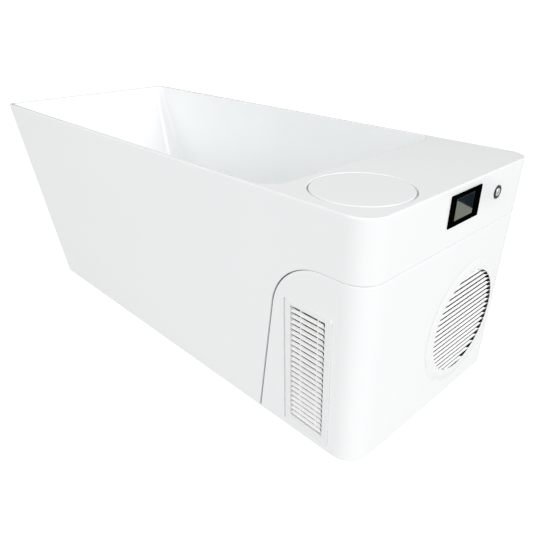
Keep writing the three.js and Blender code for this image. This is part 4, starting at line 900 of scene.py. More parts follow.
seat_gap = 0.3
display_y = 9.0
display_z = 574.0
display_half_width = 67.0
display_half_height = 38.0
display_lip = 4.0
display_body_corner = 0.6
button_y = 170.0
button_z = 570.0
button_body_radius = 13.0


def end_openings():
    """Openings in the end wall: a rectangle for the body of the display and a circle for the button's."""
    line = box_outline(display_half_width - display_lip + seat_gap,
                       display_half_height - display_lip + seat_gap, display_body_corner + seat_gap)
    turn = np.arange(72) * (2 * np.pi / 72)
    radius = button_body_radius + seat_gap
    return [end_opening(display_y + line[:, 0], display_z + line[:, 1]),
            end_opening(button_y + radius * np.cos(turn), button_z + radius * np.sin(turn))]


def outer_apron():
    """Skin between the level top edge under the rim and the skirt's edge, which climbs over the opening
    for the cover. It is drawn flat along the shell, cut at the middle of the head wall, and filled round
    the openings for the display and the button."""
    apron = Moulding()
    top = rim_top - rim_thickness
    round_head = np.concatenate([head_columns[::-1], [corner_start + straight_reach]])

    def skirt_edge(inward):
        """The skirt's edge moved in from the foot of the shell and from the opening."""
        over, over_z = cover_edge(cover_gap + inward, skirt_foot + inward)
        along = np.concatenate([[seam], round_head, over, -round_head[::-1]])
        z = np.concatenate([
            np.full(1 + len(round_head), skirt_foot + inward), over_z,
            np.full(len(round_head), skirt_foot + inward)])
        return along, z

    top_columns = np.concatenate([corner_columns, [corner_start + straight_reach], head_columns])
    top_along, top_z = level_edge(top, top_columns)
    top_along = np.concatenate([[seam], top_along])
    top_z = np.concatenate([[top], top_z])
    inward, depths = edge_steps(sheet)
    skirt = []
    for step, depth in zip(inward, depths):
        along, z = skirt_edge(step)
        skirt.append(apron.row(shell_place(along, z, depth)))
    apron.bands(skirt)
    upper = [apron.row(shell_place(top_along, top_z, depth)) for depth in (0.0, sheet)]
    apron.bands(upper)
    openings = end_openings()
    holes = [[apron.row(shell_place(*line, depth)) for line in openings] for depth in (0.0, sheet)]
    for low, high, step, facing, skin in (
        (skirt[-1], upper[0], inward[-1], -1, 0),
        (skirt[0], upper[1], inward[0], 1, 1),
    ):
        along, z = skirt_edge(step)
        loop = np.concatenate([low, low[:1], high[:1], high[::-1]])
        flat = np.concatenate([
            np.stack([along, z], 1), [[-seam, z[0]], [-seam, top]],
            np.stack([top_along, top_z], 1)[::-1], *[np.stack(line, 1) for line in openings]])
        lower_of = {round(a, 4): i for i, a in enumerate(along) if abs(a) < seam}
        count = len(loop)
        ties = [(lower_of[round(a, 4)], count - 1 - i) for i, a in enumerate(top_along)
                if round(a, 4) in lower_of and abs(a) < seam]
        apron.fill([loop, *holes[skin]], flat, facing, ties, skin)
    # The cut edges of the openings and the lip behind the cover's edge take the dark finish: painted shade
    # in the gaps.
    for front, behind in zip(*holes):
        apron.band(front, behind, skin=1)
    back = sheet + lip_gap + lip_thickness
    rows = []
    for offset, depth in (
        (cover_gap + lip_width, sheet), (cover_gap + lip_width, back),
        (-lip_width, back), (-lip_width, sheet + lip_gap), (cover_gap, sheet + lip_gap),
        (cover_gap, sheet),
    ):
        along, z = cover_edge(offset, skirt_foot)
        rows.append(apron.row(shell_place(along, z, depth)))
    apron.bands(rows + rows[:1], around=False, skin=1)
    for end, order in ((0, 1), (-1, -1)):
        apron.faced(np.array([[row[end] for row in rows][::order]]), 1)
    return apron


outer_apron().place("apron", [white_acrylic, laminate_and_painted_shade], "tub", "outer_apron", "white_acrylic")

# Power inlet: a black plastic cable gland with a nut behind the apron, beside the drain outlet.
# A mains lead would come through its bore.
gland_z = 70.0
gland_profile = [[0, -15], [18, -15], [18, -5.3], [12, -5.3], [12, 0.3], [17, 0.3], [17, 5], [12, 6.5],
                 [9, 13], [6, 13], [6, 0], [0, 0]]

black_plastic = finish_material(
    "black_plastic", (0.0035, 0.0035, 0.0037), 0.42, waver=0.2, waver_size=20.0,
    grain=0.12, grain_size=0.8, specular=0.1)
gland_low, gland_high = drawn_box("power_inlet")
turned_piece(gland_profile, far_side_frame((gland_low[0] + gland_high[0]) / 2, gland_z), 0.7).place(
    "cable_gland", [black_plastic], "tub", "power_inlet", "black_plastic")

# Chiller tray and compressor: a folded zinc-plated tray on the rails, and on it the black hermetic can with
# its weld seam and three lobes, held off by rubber mounts, with a grey cover over the terminals.
compressor_place = (663.0, 186.0)
compressor_profile = [[0, 71.9], [46, 71.9], [56, 81.9], [56, 200.9], [59, 200.9], [59, 206.9],
                      [56, 206.9], [56, 266.9], [46, 280.9], [28, 286.9], [0, 286.9]]
compressor_round = 2.5
lobe_profile = [[0, 71.9], [12, 71.9], [12, 74.9], [0, 74.9]]
mount_profile = [[0, 57.6], [12, 57.6], [12, 62.3], [9, 64.6], [12, 66.9], [12, 71.6], [0, 71.6]]
mount_circle = 52.0
terminal_half = 22.0
terminal_front = 75.0
terminal_can = 56.3
terminal_low = 138.9
terminal_high = 194.9

black_painted_steel = finish_material(
    "black_painted_steel", (0.011, 0.0112, 0.0118), 0.36, metallic=0.1, waver=0.15, waver_size=18.0,
    grain=0.2, grain_size=1.6)
nodes["chiller_tray"].material_slots[0].material = galvanised_steel


def compressor():
    """Turned can, and three turned lobes under it."""
    can = Moulding()
    turned(can, compressor_profile, upright(*compressor_place), 96, soft=compressor_round)
    for x, y in mount_places:
        turned(can, lobe_profile, upright(x, y), 40, soft=0.6)
    return can


def terminal_cover():
    """Box whose back follows the can, carried up with rolled edges."""
    cover = Moulding()
    swing = math.asin(terminal_half / terminal_can)
    turn = np.linspace(np.pi / 2 + swing, np.pi / 2 - swing, 13)
    back = terminal_can * np.stack([np.cos(turn), np.sin(turn)], 1)
    front = softened([back[-1], [terminal_half, terminal_front], [-terminal_half, terminal_front],
                      back[0]], 6.0, 6, False)
    slab(cover, np.concatenate([back, front[1:-1]]), upright(*compressor_place),
         terminal_low, terminal_high, 2.0)
    return cover


mount_turn = np.pi / 2 + np.arange(3) * 2 * np.pi / 3
mount_places = np.stack([np.cos(mount_turn), np.sin(mount_turn)], 1) * mount_circle + compressor_place
compressor().place(
    "compressor_can", [black_painted_steel], "tub", "compressor", "black_painted_steel")
terminal_cover().place(
    "terminal_box", [grey_plastic], "tub", "compressor_terminal_cover", "grey_plastic")
for number, (x, y) in enumerate(mount_places, 1):
    turned_piece(mount_profile, upright(x, y), 1.0, 40).place(
        f"rubber_mount_{number}", [black_rubber], "tub", f"compressor_mount_{number}", "black_rubber")

# Condenser: a pack of thin aluminium fins between two end plates, with copper tubes through it that turn
# back in hairpin bends beyond the near plate.
fan_y = 118.0
fan_z = 226.0
condenser_back = 728.0
condenser_front = 768.0
condenser_half = 143.5
condenser_foot = 57.6
condenser_head = 385.5
fin_pitch = 3.2
fin_thickness = 0.5
fin_margin = 2.0
end_plate = 2.0
copper_radius = 5.0
hairpin_count = 3
hairpin_reach = 20.0
hairpin_bend = 10.0

fin_aluminium = finish_material(
    "fin_aluminium", (0.56, 0.58, 0.59), 0.36, metallic=1.0, waver=0.08, waver_size=8.0,
    grain=0.1, grain_size=2.0)
copper_tube = finish_material(
    "copper_tube", (0.60, 0.25, 0.13), 0.27, metallic=1.0, waver=0.16, waver_size=22.0,
    grain=0.05, grain_size=1.5, rough_waver=0.08)


def swept(moulding, path, radius, sides=24, skin=0):
    """Tube: a circle of given radius at every place of a line, square to it, closed at both ends."""
    path = np.asarray(path, float)
    legs = np.diff(path, axis=0)
    legs = legs / np.linalg.norm(legs, axis=1)[:, None]
    ways = np.concatenate([legs[:1], legs[:-1] + legs[1:], legs[-1:]])
    ways = ways / np.linalg.norm(ways, axis=1)[:, None]
    turn = np.arange(sides) * (2 * np.pi / sides)
    side = np.cross(ways[0], [0.36, 0.48, 0.8])
    rows = []
    for place, way, size in zip(path, ways, np.broadcast_to(radius, len(path))):
        side = side - way * (side @ way)
        side = side / np.linalg.norm(side)
        circle = np.outer(np.cos(turn), side) + np.outer(np.sin(turn), np.cross(way, side))
        rows.append(moulding.row(place + size * circle))
    moulding.bands(rows, skin=skin)
    ends = moulding.row(path[[0, -1]])
    moulding.cone(rows[0][::-1], ends[0], skin)
    moulding.cone(rows[-1], ends[1], skin)


def block(moulding, low, high, edge, corner, skin=0):
    """Box between two corners with round upright edges and rolled ends."""
    low, high = np.array(low, float), np.array(high, float)
    middle, half = (low + high) / 2, (high - low) / 2
    slab(moulding, box_outline(half[0], half[1], corner, 3), upright(middle[0], middle[1]),
         low[2], high[2], edge, skin)


def condenser_coil():
    """Thin plates repeated along the width between two thicker ones, and tubes with their bends."""
    coil = Moulding()
    near = fan_y - condenser_half
    far = fan_y + condenser_half
    for y in (near, far - end_plate):
        block(coil, (condenser_back, y, condenser_foot),
              (condenser_front, y + end_plate, condenser_head), 0.4, 0.5)
    for y in np.arange(near + 2 * end_plate, far - 2 * end_plate, fin_pitch):
        corners = np.array([[-1, -1], [1, -1], [1, 1], [-1, 1]], float)
        x = (condenser_back + condenser_front) / 2 + corners[:, 0] * (
            (condenser_front - condenser_back) / 2 - fin_margin / 2)
        across = y + corners[:, 1] * fin_thickness / 2
        rows = [coil.row(np.stack([x, across, np.full(4, z)], 1))
                for z in (condenser_foot + fin_margin, condenser_head - fin_margin)]
        coil.band(*rows)
        coil.faced(np.stack([rows[0][::-1], rows[1]]), 0)
    step = (condenser_head - condenser_foot) / (hairpin_count + 1)
    x = (condenser_back + condenser_front) / 2
    for number in range(hairpin_count):
        middle = condenser_foot + (number + 1) * step
        low, high = middle - step / 4, middle + step / 4
        path = softened([
            [x, far - end_plate / 2, low], [x, near - hairpin_reach, low],
            [x, near - hairpin_reach, high], [x, far - end_plate / 2, high]], hairpin_bend, 6, False)
        swept(coil, path, copper_radius, 20, 1)
    return coil


condenser_coil().place(
    "condenser_pack", [fin_aluminium, copper_tube], "tub", "condenser_coil", "fin_aluminium")

# Fan: a black painted sheet panel with a rolled ring and three arms, the motor seated in the middle of them,
# and a black plastic rotor with five twisted blades on its shaft.
shroud_back = 774.0
shroud_sheet = 2.0
shroud_ring = [[129, 774], [129, 814.5], [128.4, 816], [127.6, 816], [127, 814.5], [127, 774]]
shroud_hole = 127.0
arm_half = 6.0
arm_inner = 40.0
arm_outer = 127.6
arm_depth = 6.0
seat_profile = [[0, 774], [44, 774], [44, 780], [38, 780], [38, 776], [0, 776]]
motor_profile = [[0, 776.3], [38, 776.3], [38, 796.3], [34, 800.3], [5, 800.3], [5, 810.3], [0, 810.3]]
rotor_back = 801.3
rotor_depth = 24.7
hub_profile = [[0, 10], [5.3, 10], [5.3, 0], [40, 0], [40, 20.7], [36, 24.7], [0, 24.7]]
blade_count = 5
blade_root = 37.0
blade_tip = 124.0
blade_chords = (34.0, 66.0)
blade_pitches = (math.radians(34.0), math.radians(15.0))
blade_sweep = 24.0
blade_upper = 1.6
blade_lower = 1.0
blade_edge = 0.35


def fan_frame(x):
    """Frame of drawing about the fan's axis, outwards towards the chiller end."""
    return wall_frame((x, fan_y, fan_z), (0, 1, 0), (0, 0, 1))


def fan_shroud():
    """Sheet with a round hole, filled in front and behind, a turned ring in the hole, bars from it to a
    turned seat."""
    shroud = Moulding()
    carry = fan_frame(0.0)
    turn = np.arange(96) * (2 * np.pi / 96)
    hole = shroud_hole * np.stack([np.cos(turn), np.sin(turn)], 1)
    corners = np.array([[-condenser_half, condenser_foot - fan_z], [condenser_half, condenser_foot - fan_z],
                        [condenser_half, condenser_head - fan_z], [-condenser_half, condenser_head - fan_z]])
    outline = softened(corners, 4.0, 4)
    flat = np.concatenate([outline, hole])
    sides = []
    for x, facing in ((shroud_back, -1), (shroud_back + shroud_sheet, 1)):
        loops = [shroud.row(carry(line[:, 0], line[:, 1], x)) for line in (outline, hole)]
        shroud.fill(loops, flat, facing)
        sides.append(loops)
    shroud.band(sides[0][0], sides[1][0])
    shroud.band(sides[1][1], sides[0][1])
    turned(shroud, shroud_ring, carry, 96, closed=True)
    turned(shroud, seat_profile, carry, 64, soft=0.5)
    for lean in np.arange(3) * 2 * np.pi / 3:
        arm = wall_frame((shroud_back, fan_y, fan_z), (0, math.cos(lean), math.sin(lean)),
                         (0, -math.sin(lean), math.cos(lean)))
        outline = box_outline(arm_half, (arm_outer - arm_inner) / 2, 1.0, 2)
        slab(shroud, outline + [0.0, (arm_outer + arm_inner) / 2], arm, 0.0, arm_depth, 0.8)
    return shroud


def fan_rotor():
    """Turned hub. Blades: a thin cambered section whose chord, pitch and sweep change evenly from root to
    tip, wrapped on circles round the axis."""
    rotor = Moulding()
    carry = fan_frame(rotor_back)
    turned(rotor, hub_profile, carry, 72, soft=1.2)
    along = np.linspace(-0.5, 0.5, 12)
    bow = 1 - (2 * along) ** 2
    along = np.concatenate([along, along[::-1]])
    thick = np.concatenate([blade_edge + (blade_upper - blade_edge) * bow,
                            (-blade_edge - (blade_lower - blade_edge) * bow)[::-1]])
    for number in range(blade_count):
        rows = []
        for share in np.linspace(0.0, 1.0, 12):
            radius = blade_root + (blade_tip - blade_root) * share
            chord = blade_chords[0] + (blade_chords[1] - blade_chords[0]) * share
            pitch = blade_pitches[0] + (blade_pitches[1] - blade_pitches[0]) * share
            forward = along * chord * math.sin(pitch) + thick * math.cos(pitch)
            tangent = along * chord * math.cos(pitch) - thick * math.sin(pitch) + share * blade_sweep
            swing = tangent / radius - number * 2 * np.pi / blade_count
            rows.append(rotor.row(carry(
                radius * np.sin(swing), radius * np.cos(swing), rotor_depth / 2 + forward)))
        rotor.bands(rows)
        ends = rotor.row([np.concatenate(rotor.points)[row].mean(0) for row in (rows[0], rows[-1])])
        rotor.cone(rows[0][::-1], ends[0])
        rotor.cone(rows[-1], ends[1])
    return rotor


fan_shroud().place("fan_panel", [black_painted_steel], "tub", "fan_shroud", "black_painted_steel")
turned_piece(motor_profile, fan_frame(0.0), 1.5).place(
    "fan_drive", [black_painted_steel], "tub", "fan_motor", "black_painted_steel")
fan_rotor().place("fan_blades", [black_plastic], "fan", "fan_rotor", "black_plastic")

# Heat exchanger, pump and control box: a grey plastic vessel on a stand, a black plastic pump with a finned
# motor lying under the filter, and a grey box of electronics hung from the deck by two ears.
exchanger_place = (655.0, 40.0)
exchanger_profile = [[0, 57.6], [28, 57.6], [28, 145.4], [45, 145.4], [45, 190], [43.4, 193], [45, 196],
                     [45, 260], [43.4, 263], [45, 266], [45, 330], [43.4, 333], [45, 336], [45, 393.4],
                     [33, 405.4], [0, 405.4]]
exchanger_outlet = [[0, 391.4], [14, 391.4], [14, 419.4], [0, 419.4]]
filter_port_z = 379.4
exchanger_inlet = [[0, 30], [14, 30], [14, 59], [0, 59]]
pump_z = 119.3
volute_profile = [[0, -213], [52, -213], [52, -177], [0, -177]]
motor_radius = 42.0
motor_fin_radius = 45.5
motor_start = -289.0
motor_stop = -195.0
motor_fins = np.arange(-280.0, -224.0, 7.0)
motor_fin = 3.0
pump_inlet = [[0, -195], [14, -195], [14, -163], [0, -163]]
pump_outlet = [[0, 119.3], [14, 119.3], [14, 185.3], [0, 185.3]]
pump_foot = ((685, -283, 57.6), (743, -195, 119.3))
control_low = (655, 85, 477)
control_high = (795, 295, 587)
control_lid = 560.0
ear_boxes = (((697, 127, 585), (753, 147, 621.7)), ((697, 233, 585), (753, 253, 621.7)))

exchanger_way = np.array([exchanger_place[0] - lid_x, exchanger_place[1] - lid_y, 0.0])
exchanger_way = exchanger_way / np.linalg.norm(exchanger_way)


def heat_exchanger():
    """Turned vessel with grooves, and two turned spigots."""
    vessel = Moulding()
    carry = upright(*exchanger_place)
    turned(vessel, exchanger_profile, carry, 80, soft=1.5)
    turned(vessel, exchanger_outlet, carry, 40, soft=0.6)
    turned(vessel, exchanger_inlet, axis_frame((*exchanger_place, filter_port_z), -exchanger_way), 40,
           soft=0.6)
    return vessel


def circulation_pump():
    """Turned volute and motor, whose line steps out at each fin, two turned spigots and a block."""
    pump = Moulding()
    carry = axis_frame((lid_x, 0.0, pump_z), (0, 1, 0))
    turned(pump, volute_profile, carry, 80, soft=7.0)
    line = [[0, motor_start], [motor_radius - 4, motor_start], [motor_radius, motor_start + 4]]
    for fin in motor_fins:
        line += [[motor_radius, fin], [motor_fin_radius, fin + 0.5],
                 [motor_fin_radius, fin + motor_fin - 0.5], [motor_radius, fin + motor_fin]]
    turned(pump, line + [[motor_radius, motor_stop], [0, motor_stop]], carry, 64)
    turned(pump, pump_inlet, carry, 40, soft=0.6)
    turned(pump, pump_outlet, upright(lid_x, lid_y), 40, soft=0.6)
    block(pump, *pump_foot, 1.5, 3.0)
    return pump


def control_box():
    """Rounded box with its lid above a narrow joint, and two ears."""
    box = Moulding()
    block(box, control_low, (*control_high[:2], control_lid - 0.6), 1.2, 6.0)
    block(box, np.array(control_low) + [1, 1, control_lid - control_low[2] - 2],
          np.array(control_high) - [1, 1, control_high[2] - control_lid - 2], 0.4, 5.0)
    block(box, (*control_low[:2], control_lid + 0.6), control_high, 2.5, 6.0)
    for low, high in ear_boxes:
        block(box, low, high, 0.8, 2.0)
    return box


heat_exchanger().place("exchanger_vessel", [grey_plastic], "tub", "heat_exchanger", "grey_plastic")
circulation_pump().place("pump_unit", [black_plastic], "tub", "circulation_pump", "black_plastic")
control_box().place("control_case", [grey_plastic], "tub", "control_box", "grey_plastic")

# Pipes: blue plastic water pipe between the spigots, with a socket at each end, and bent copper tubes for
# the refrigerant.
pipe_radius = 14.0
pipe_waist = 12.6
pipe_socket = 9.0
fitting_reach = 53.6
suction_bend = 30.0
return_bend = 24.0
pump_inlet_y = -162.7
filter_pipe_z = (185.6, 323.1)
exchanger_pipe_reach = (106.3, 59.3)
exchanger_outlet_z = 419.7
copper_runs = (
    ("discharge_tube", "hot_gas_line", 20.0,
     [[663, 205.67, 287.2], [663, 205.67, 361.5], [727.7, 205.67, 361.5]]),
    ("liquid_tube", "liquid_line", 6.0,
     [[727.7, 100, 187.4], [655, 100, 187.4], [655, 85.3, 187.4]]),
    ("vapour_tube", "vapour_line", 20.0,
     [[655, 85.3, 316.9], [655, 166.33, 316.9], [655, 166.33, 287.2]]),
)

blue_pipe = finish_material(
    "blue_pipe", (0.065, 0.115, 0.18), 0.42, waver=0.08, waver_size=35.0, grain=0.08, grain_size=1.0)


def water_pipe(corners, bend):
    """Line through corners with round bends. The pipe is a little thicker in the sockets at its ends."""
    pipe = Moulding()
    corners = np.asarray(corners, float)
    line = softened(corners, bend, 8, False) if len(corners) > 2 else corners
    first = (corners[1] - corners[0]) / np.linalg.norm(corners[1] - corners[0])
    last = (corners[-2] - corners[-1]) / np.linalg.norm(corners[-2] - corners[-1])
    reach = np.array([[0.0], [pipe_socket], [pipe_socket + 1.0]])
    path = np.concatenate([corners[0] + first * reach, line[1:-1], (corners[-1] + last * reach)[::-1]])
    radii = np.full(len(path), pipe_waist)
    radii[:2] = pipe_radius
    radii[-2:] = pipe_radius
    swept(pipe, path, radii, 40)
    return pipe


def through_wall(place, x):
    """Where a fitting's tail ends, and where its line comes to a given place along the tub."""
    carry = basin_wall_frame(*place)
    start, ahead = carry(0.0, 0.0, -fitting_reach), carry(0.0, 0.0, -fitting_reach - 1.0)
    return start, start + (ahead - start) * (x - start[0]) / (ahead - start)[0]


suction_start, suction_corner = through_wall(strainer_place, lid_x)
return_end, return_corner = through_wall(nozzle_place, exchanger_place[0])
filter_port = np.array([lid_x, lid_y, filter_port_z])
exchanger_port = np.array([*exchanger_place, filter_port_z])
pipe_runs = (
    ("suction_pipe", "suction_line", suction_bend, [
        suction_start, suction_corner, [lid_x, suction_corner[1], pump_z], [lid_x, pump_inlet_y, pump_z]]),
    ("filter_pipe", "filter_line", 0.0, [[lid_x, lid_y, z] for z in filter_pipe_z]),
    ("exchanger_pipe", "exchanger_line", 0.0, [
        filter_port + exchanger_way * exchanger_pipe_reach[0],
        exchanger_port - exchanger_way * exchanger_pipe_reach[1]]),
    ("return_pipe", "return_line", return_bend, [
        [*exchanger_place, exchanger_outlet_z], return_corner, return_end]),
)
for node, name, bend, corners in pipe_runs:
    water_pipe(corners, bend).place(name, [blue_pipe], "tub", node, "blue_pipe")
for node, name, bend, corners in copper_runs:
    line = Moulding()
    swept(line, softened(corners, bend, 8, False), copper_radius)
    line.place(name, [copper_tube], "tub", node, "copper_tube")

# Filter: a white plastic collar bonded under the lid hole, a black bucket hung from it, and in the bucket a
# cartridge of pleated paper between two caps, with a bail to lift it by.
collar_profile = [[100, 607.7], [126, 607.7], [126, 621.7], [100, 621.7]]
bucket_profile = [[0, 337.4], [84, 337.4], [92, 345.4], [92, 599.4], [120, 601.4], [120, 607.4],
                  [88, 607.4], [88, 349.4], [84, 341.4], [0, 341.4]]
bucket_inlet = [[0, 323.4], [14, 323.4], [14, 339.4], [0, 339.4]]
bucket_outlet = [[0, 90], [14, 90], [14, 106], [0, 106]]
cap_profiles = ([[0, 347.4], [78, 347.4], [78, 359.4], [0, 359.4]],
                [[0, 550.4], [78, 550.4], [78, 562.4], [0, 562.4]])
pleat_low = 353.4
pleat_high = 556.4
pleat_count = 48
pleat_radii = (66.0, 75.0)
bail_half = 39.0
bail_radius = 4.0
bail_bend = 12.0
bail_levels = (556.4, 586.4)

filter_paper = finish_material(
    "filter_paper", (0.78, 0.82, 0.84), 0.9, waver=0.05, waver_size=12.0, grain=0.3, grain_size=0.8)


def filter_housing():
    """Turned bucket and two turned spigots."""
    bucket = Moulding()
    turned(bucket, bucket_profile, upright(lid_x, lid_y), 96, soft=1.5)
    turned(bucket, bucket_inlet, upright(lid_x, lid_y), 40, soft=0.6)
    turned(bucket, bucket_outlet, axis_frame(filter_port, exchanger_way), 40, soft=0.6)
    return bucket


def filter_cartridge():
    """Pleats: a circle whose radius swings in and out as a cosine, carried up. Caps turned, bail swept."""
    cartridge = Moulding()
    carry = upright(lid_x, lid_y)
    turn = np.arange(pleat_count * 8) * (2 * np.pi / (pleat_count * 8))
    swing = 0.5 + 0.5 * np.cos(pleat_count * turn)
    radius = pleat_radii[0] + (pleat_radii[1] - pleat_radii[0]) * swing
    rows = [cartridge.row(carry(radius * np.cos(turn), radius * np.sin(turn), z))
            for z in (pleat_low, pleat_high)]
    cartridge.band(*rows)
    ends = cartridge.row(carry(0.0, 0.0, np.array([pleat_low, pleat_high])))
    cartridge.cone(rows[0][::-1], ends[0])
    cartridge.cone(rows[1], ends[1])
    for profile in cap_profiles:
        turned(cartridge, profile, carry, 80, 1, 2.0)
    path = [[-bail_half, 0, bail_levels[0]], [-bail_half, 0, bail_levels[1]],
            [bail_half, 0, bail_levels[1]], [bail_half, 0, bail_levels[0]]]
    path = softened(path, bail_bend, 8, False) + [lid_x, lid_y, 0.0]
    swept(cartridge, path, bail_radius, 20, 1)
    return cartridge


filter_collar = Moulding()
turned(filter_collar, collar_profile, upright(lid_x, lid_y), 128, 0, 0.8, True)
filter_collar.place("filter_collar", [white_plastic], "tub", "lid_collar", "white_plastic")
filter_housing().place("filter_bucket", [black_plastic], "tub", "filter_housing", "black_plastic")
filter_cartridge().place(
    "paper_cartridge", [filter_paper, blue_pipe], "tub", "filter_cartridge", "filter_paper", 50.0)

# Lid: a loose disc of the same white acrylic, flush with the deck, with an open groove round it. A rubber
# ring under it seats inside the collar. It covers the filter and is lifted out by its edge.
lid_radius = 114.0
lid_thickness = 8.0
lid_round = 2.5
lid_chamfer = 1.0
gasket_radius = 97.4
gasket_half = 2.0
gasket_z = 619.7


def filter_lid():
    """Disc with a rolled upper edge and a small chamfer below."""
    low = rim_top - lid_thickness
    along, up = rolled(lid_round)
    profile = [[0.0, low], [lid_radius - lid_chamfer, low], [lid_radius, low + lid_chamfer]]
    profile += [[lid_radius - a, rim_top - lid_round + u] for a, u in zip(along, up)]
    profile += [[lid_radius - lid_round - shade_strip, rim_top], [0.0, rim_top]]
    return turned_piece(profile, upright(lid_x, lid_y), 0.0, 160)


filter_lid().place("lid_disc", [white_acrylic], "lid", "filter_lid", "white_acrylic")
gasket_turn = np.arange(16) * (2 * np.pi / 16)
gasket = Moulding()
turned(gasket, np.stack([gasket_radius + gasket_half * np.cos(gasket_turn),
                         gasket_z + gasket_half * np.sin(gasket_turn)], 1),
       upright(lid_x, lid_y), 128, closed=True)
gasket.place("lid_seal", [black_rubber], "lid", "lid_gasket", "black_rubber")

# Display: a black plastic housing let into the end wall. The inner edges of its frame slant back to the
# dark glass of the screen.
display_corner = 2.0
display_edge = 0.9
display_proud = 3.0
display_side_border = 9.0
display_head_border = 5.0
display_depth = 32.0
screen_half_width = 40.0
screen_half_height = 26.0
screen_recess = 2.3
screen_thickness = 3.0
screen_edge = 0.3
screen_index = 2.0
screen_tint = (0.92, 1.0, 0.70, 1.0)

screen_glass = finish_material(
    "screen_glass", (0.010, 0.017, 0.025), 0.03, waver=0.25, waver_size=30.0,
    rough_waver=0.01, specular=1.0)
screen_shader = screen_glass.node_tree.nodes["Principled BSDF"]
screen_shader.inputs["IOR"].default_value = screen_index
screen_shader.inputs["Specular Tint"].default_value = screen_tint
display_black = finish_material(
    "display_black", (0.0012, 0.0012, 0.0013), 0.6, waver=0.2, waver_size=20.0, specular=0.0)


def end_frame(y, z):
    """Frame of drawing on the chiller end wall at a place."""
    return wall_frame((shell_end(z), y, z), (0, 1, 0), (end_lean / shell_height, 0, 1))


def display_housing():
    """Rounded rectangles carried from the back of the box, out to the frame's edge, over it, and down the
    slanted inner edges to the floor of the screen's pocket."""
    housing = Moulding()
    carry = end_frame(display_y, display_z)

    def loop(half_width, half_height, radius, proud):
        line = box_outline(half_width, half_height, radius)
        return housing.row(carry(line[:, 0], line[:, 1], proud))

    def edge(inset, proud):
        return loop(display_half_width - inset, display_half_height - inset,
                    max(display_corner - inset, display_body_corner), proud)

    def mouth(grow, proud):
        return loop(display_half_width - display_side_border + grow,
                    display_half_height - display_head_border + grow, 1.0, proud)

    along, up = rolled(display_edge)
    shoulder = display_proud - display_edge
    pocket = display_proud - screen_recess
    pocket_floor = pocket - screen_thickness - seat_gap
    rows = [edge(display_lip, -display_depth), edge(display_lip, seat_gap), edge(0.0, seat_gap)]
    rows += [edge(a, shoulder + u) for a, u in zip(along, up)]
    rows += [edge(display_edge + 0.5, display_proud), mouth(0.6, display_proud)]
    rows += [mouth(0.15, display_proud - 0.15)]
    for proud in (pocket, pocket_floor):
        rows.append(loop(screen_half_width + seat_gap, screen_half_height + seat_gap, 0.8, proud))
    housing.bands(rows)
    ends = housing.row(carry(0.0, 0.0, np.array([-display_depth, pocket_floor])))
    housing.cone(rows[0][::-1], ends[0])
    housing.cone(rows[-1], ends[1])
    return housing


def display_glass():
    """Rounded rectangle carried through the thickness of the glass, with softened edges."""
    glass = Moulding()
    front = display_proud - screen_recess
    slab(glass, box_outline(screen_half_width, screen_half_height, 0.8, 4),
         end_frame(display_y, display_z), front - screen_thickness, front, screen_edge)
    return glass


display_housing().place(
    "display_case", [display_black], "tub", "display_housing", "black_plastic", 25.0)
display_glass().place("screen_pane", [screen_glass], "tub", "display_glass", "screen_glass", 5.0)

# Push button: a turned ring of bright metal screwed into the end wall, and a domed cap that is pressed in.
# The ring's colour is darkened as painted reflection and the cap's lightened as painted highlight.
button_radius = 17.0
button_proud = 3.6
button_chamfer = 2.0
button_body_depth = 30.0
button_cap_radius = 11.0
button_travel = 3.0
button_hole = button_cap_radius + seat_gap
button_floor = -button_travel - 2 * seat_gap
ring_front = [
    [button_radius, seat_gap],
    [button_radius, button_proud - 0.6 * button_chamfer],
    [button_radius - 2 * button_chamfer, button_proud],
    [button_hole, button_proud - button_chamfer],
    [button_hole, button_floor],
]
cap_line = [
    [0.0, 0.0],
    [button_cap_radius, 0.0],
    [button_cap_radius, button_proud - button_chamfer],
    [button_cap_radius - button_chamfer, button_proud - 0.25 * button_chamfer],
    [0.0, button_proud],
]

ring_line = [[0.0, -button_body_depth], [button_body_radius, -button_body_depth],
             [button_body_radius, seat_gap]]
ring_line += softened(ring_front, 1.2, 5, False).tolist() + [[0.0, button_floor]]
# Both pieces are chrome. The ring's colour is dark as painted reflection of dark surroundings, the cap's
# light as painted highlight.
painted_reflection_chrome = finish_material(
    "painted_reflection_chrome", (0.06, 0.06, 0.062), 0.14, metallic=1.0, waver=0.05, waver_size=10.0)
painted_highlight_chrome = finish_material(
    "painted_highlight_chrome", (0.92, 0.925, 0.93), 0.22, metallic=1.0, waver=0.03, waver_size=10.0)
turned_piece(ring_line, end_frame(button_y, button_z), 0.0, 72).place(
    "button_ring", [painted_reflection_chrome], "tub", "button_bezel", "chrome_metal")
turned_piece(cap_line, end_frame(button_y, button_z), 1.0, 72).place(
    "button_face", [painted_highlight_chrome], "button", "button_cap", "chrome_metal")

# Service cover: the U-shaped white acrylic hood that clips round the chiller end below the parting line.
# It has a window for the side grille, in a shallow pocket, and a round outlet for the fan.
side_grille_x = 700.0
side_grille_z = 208.5
side_window_half = 56.8
side_window_height = 168.8
side_window_corner = 2.0
side_pocket_half = 71.7
side_pocket_height = 177.9
side_pocket_corner = 4.0
side_pocket_aside = 2.4
side_pocket_depth = 4.2
fan_outlet = 147.8


def side_window(half, height, radius, aside=0.0):
    """Rectangle with round corners on the near side, drawn along the shell."""
    line = box_outline(half, height, radius)
    z = side_grille_z + line[:, 1]
    return side_along(side_grille_x - aside + line[:, 0], z), z


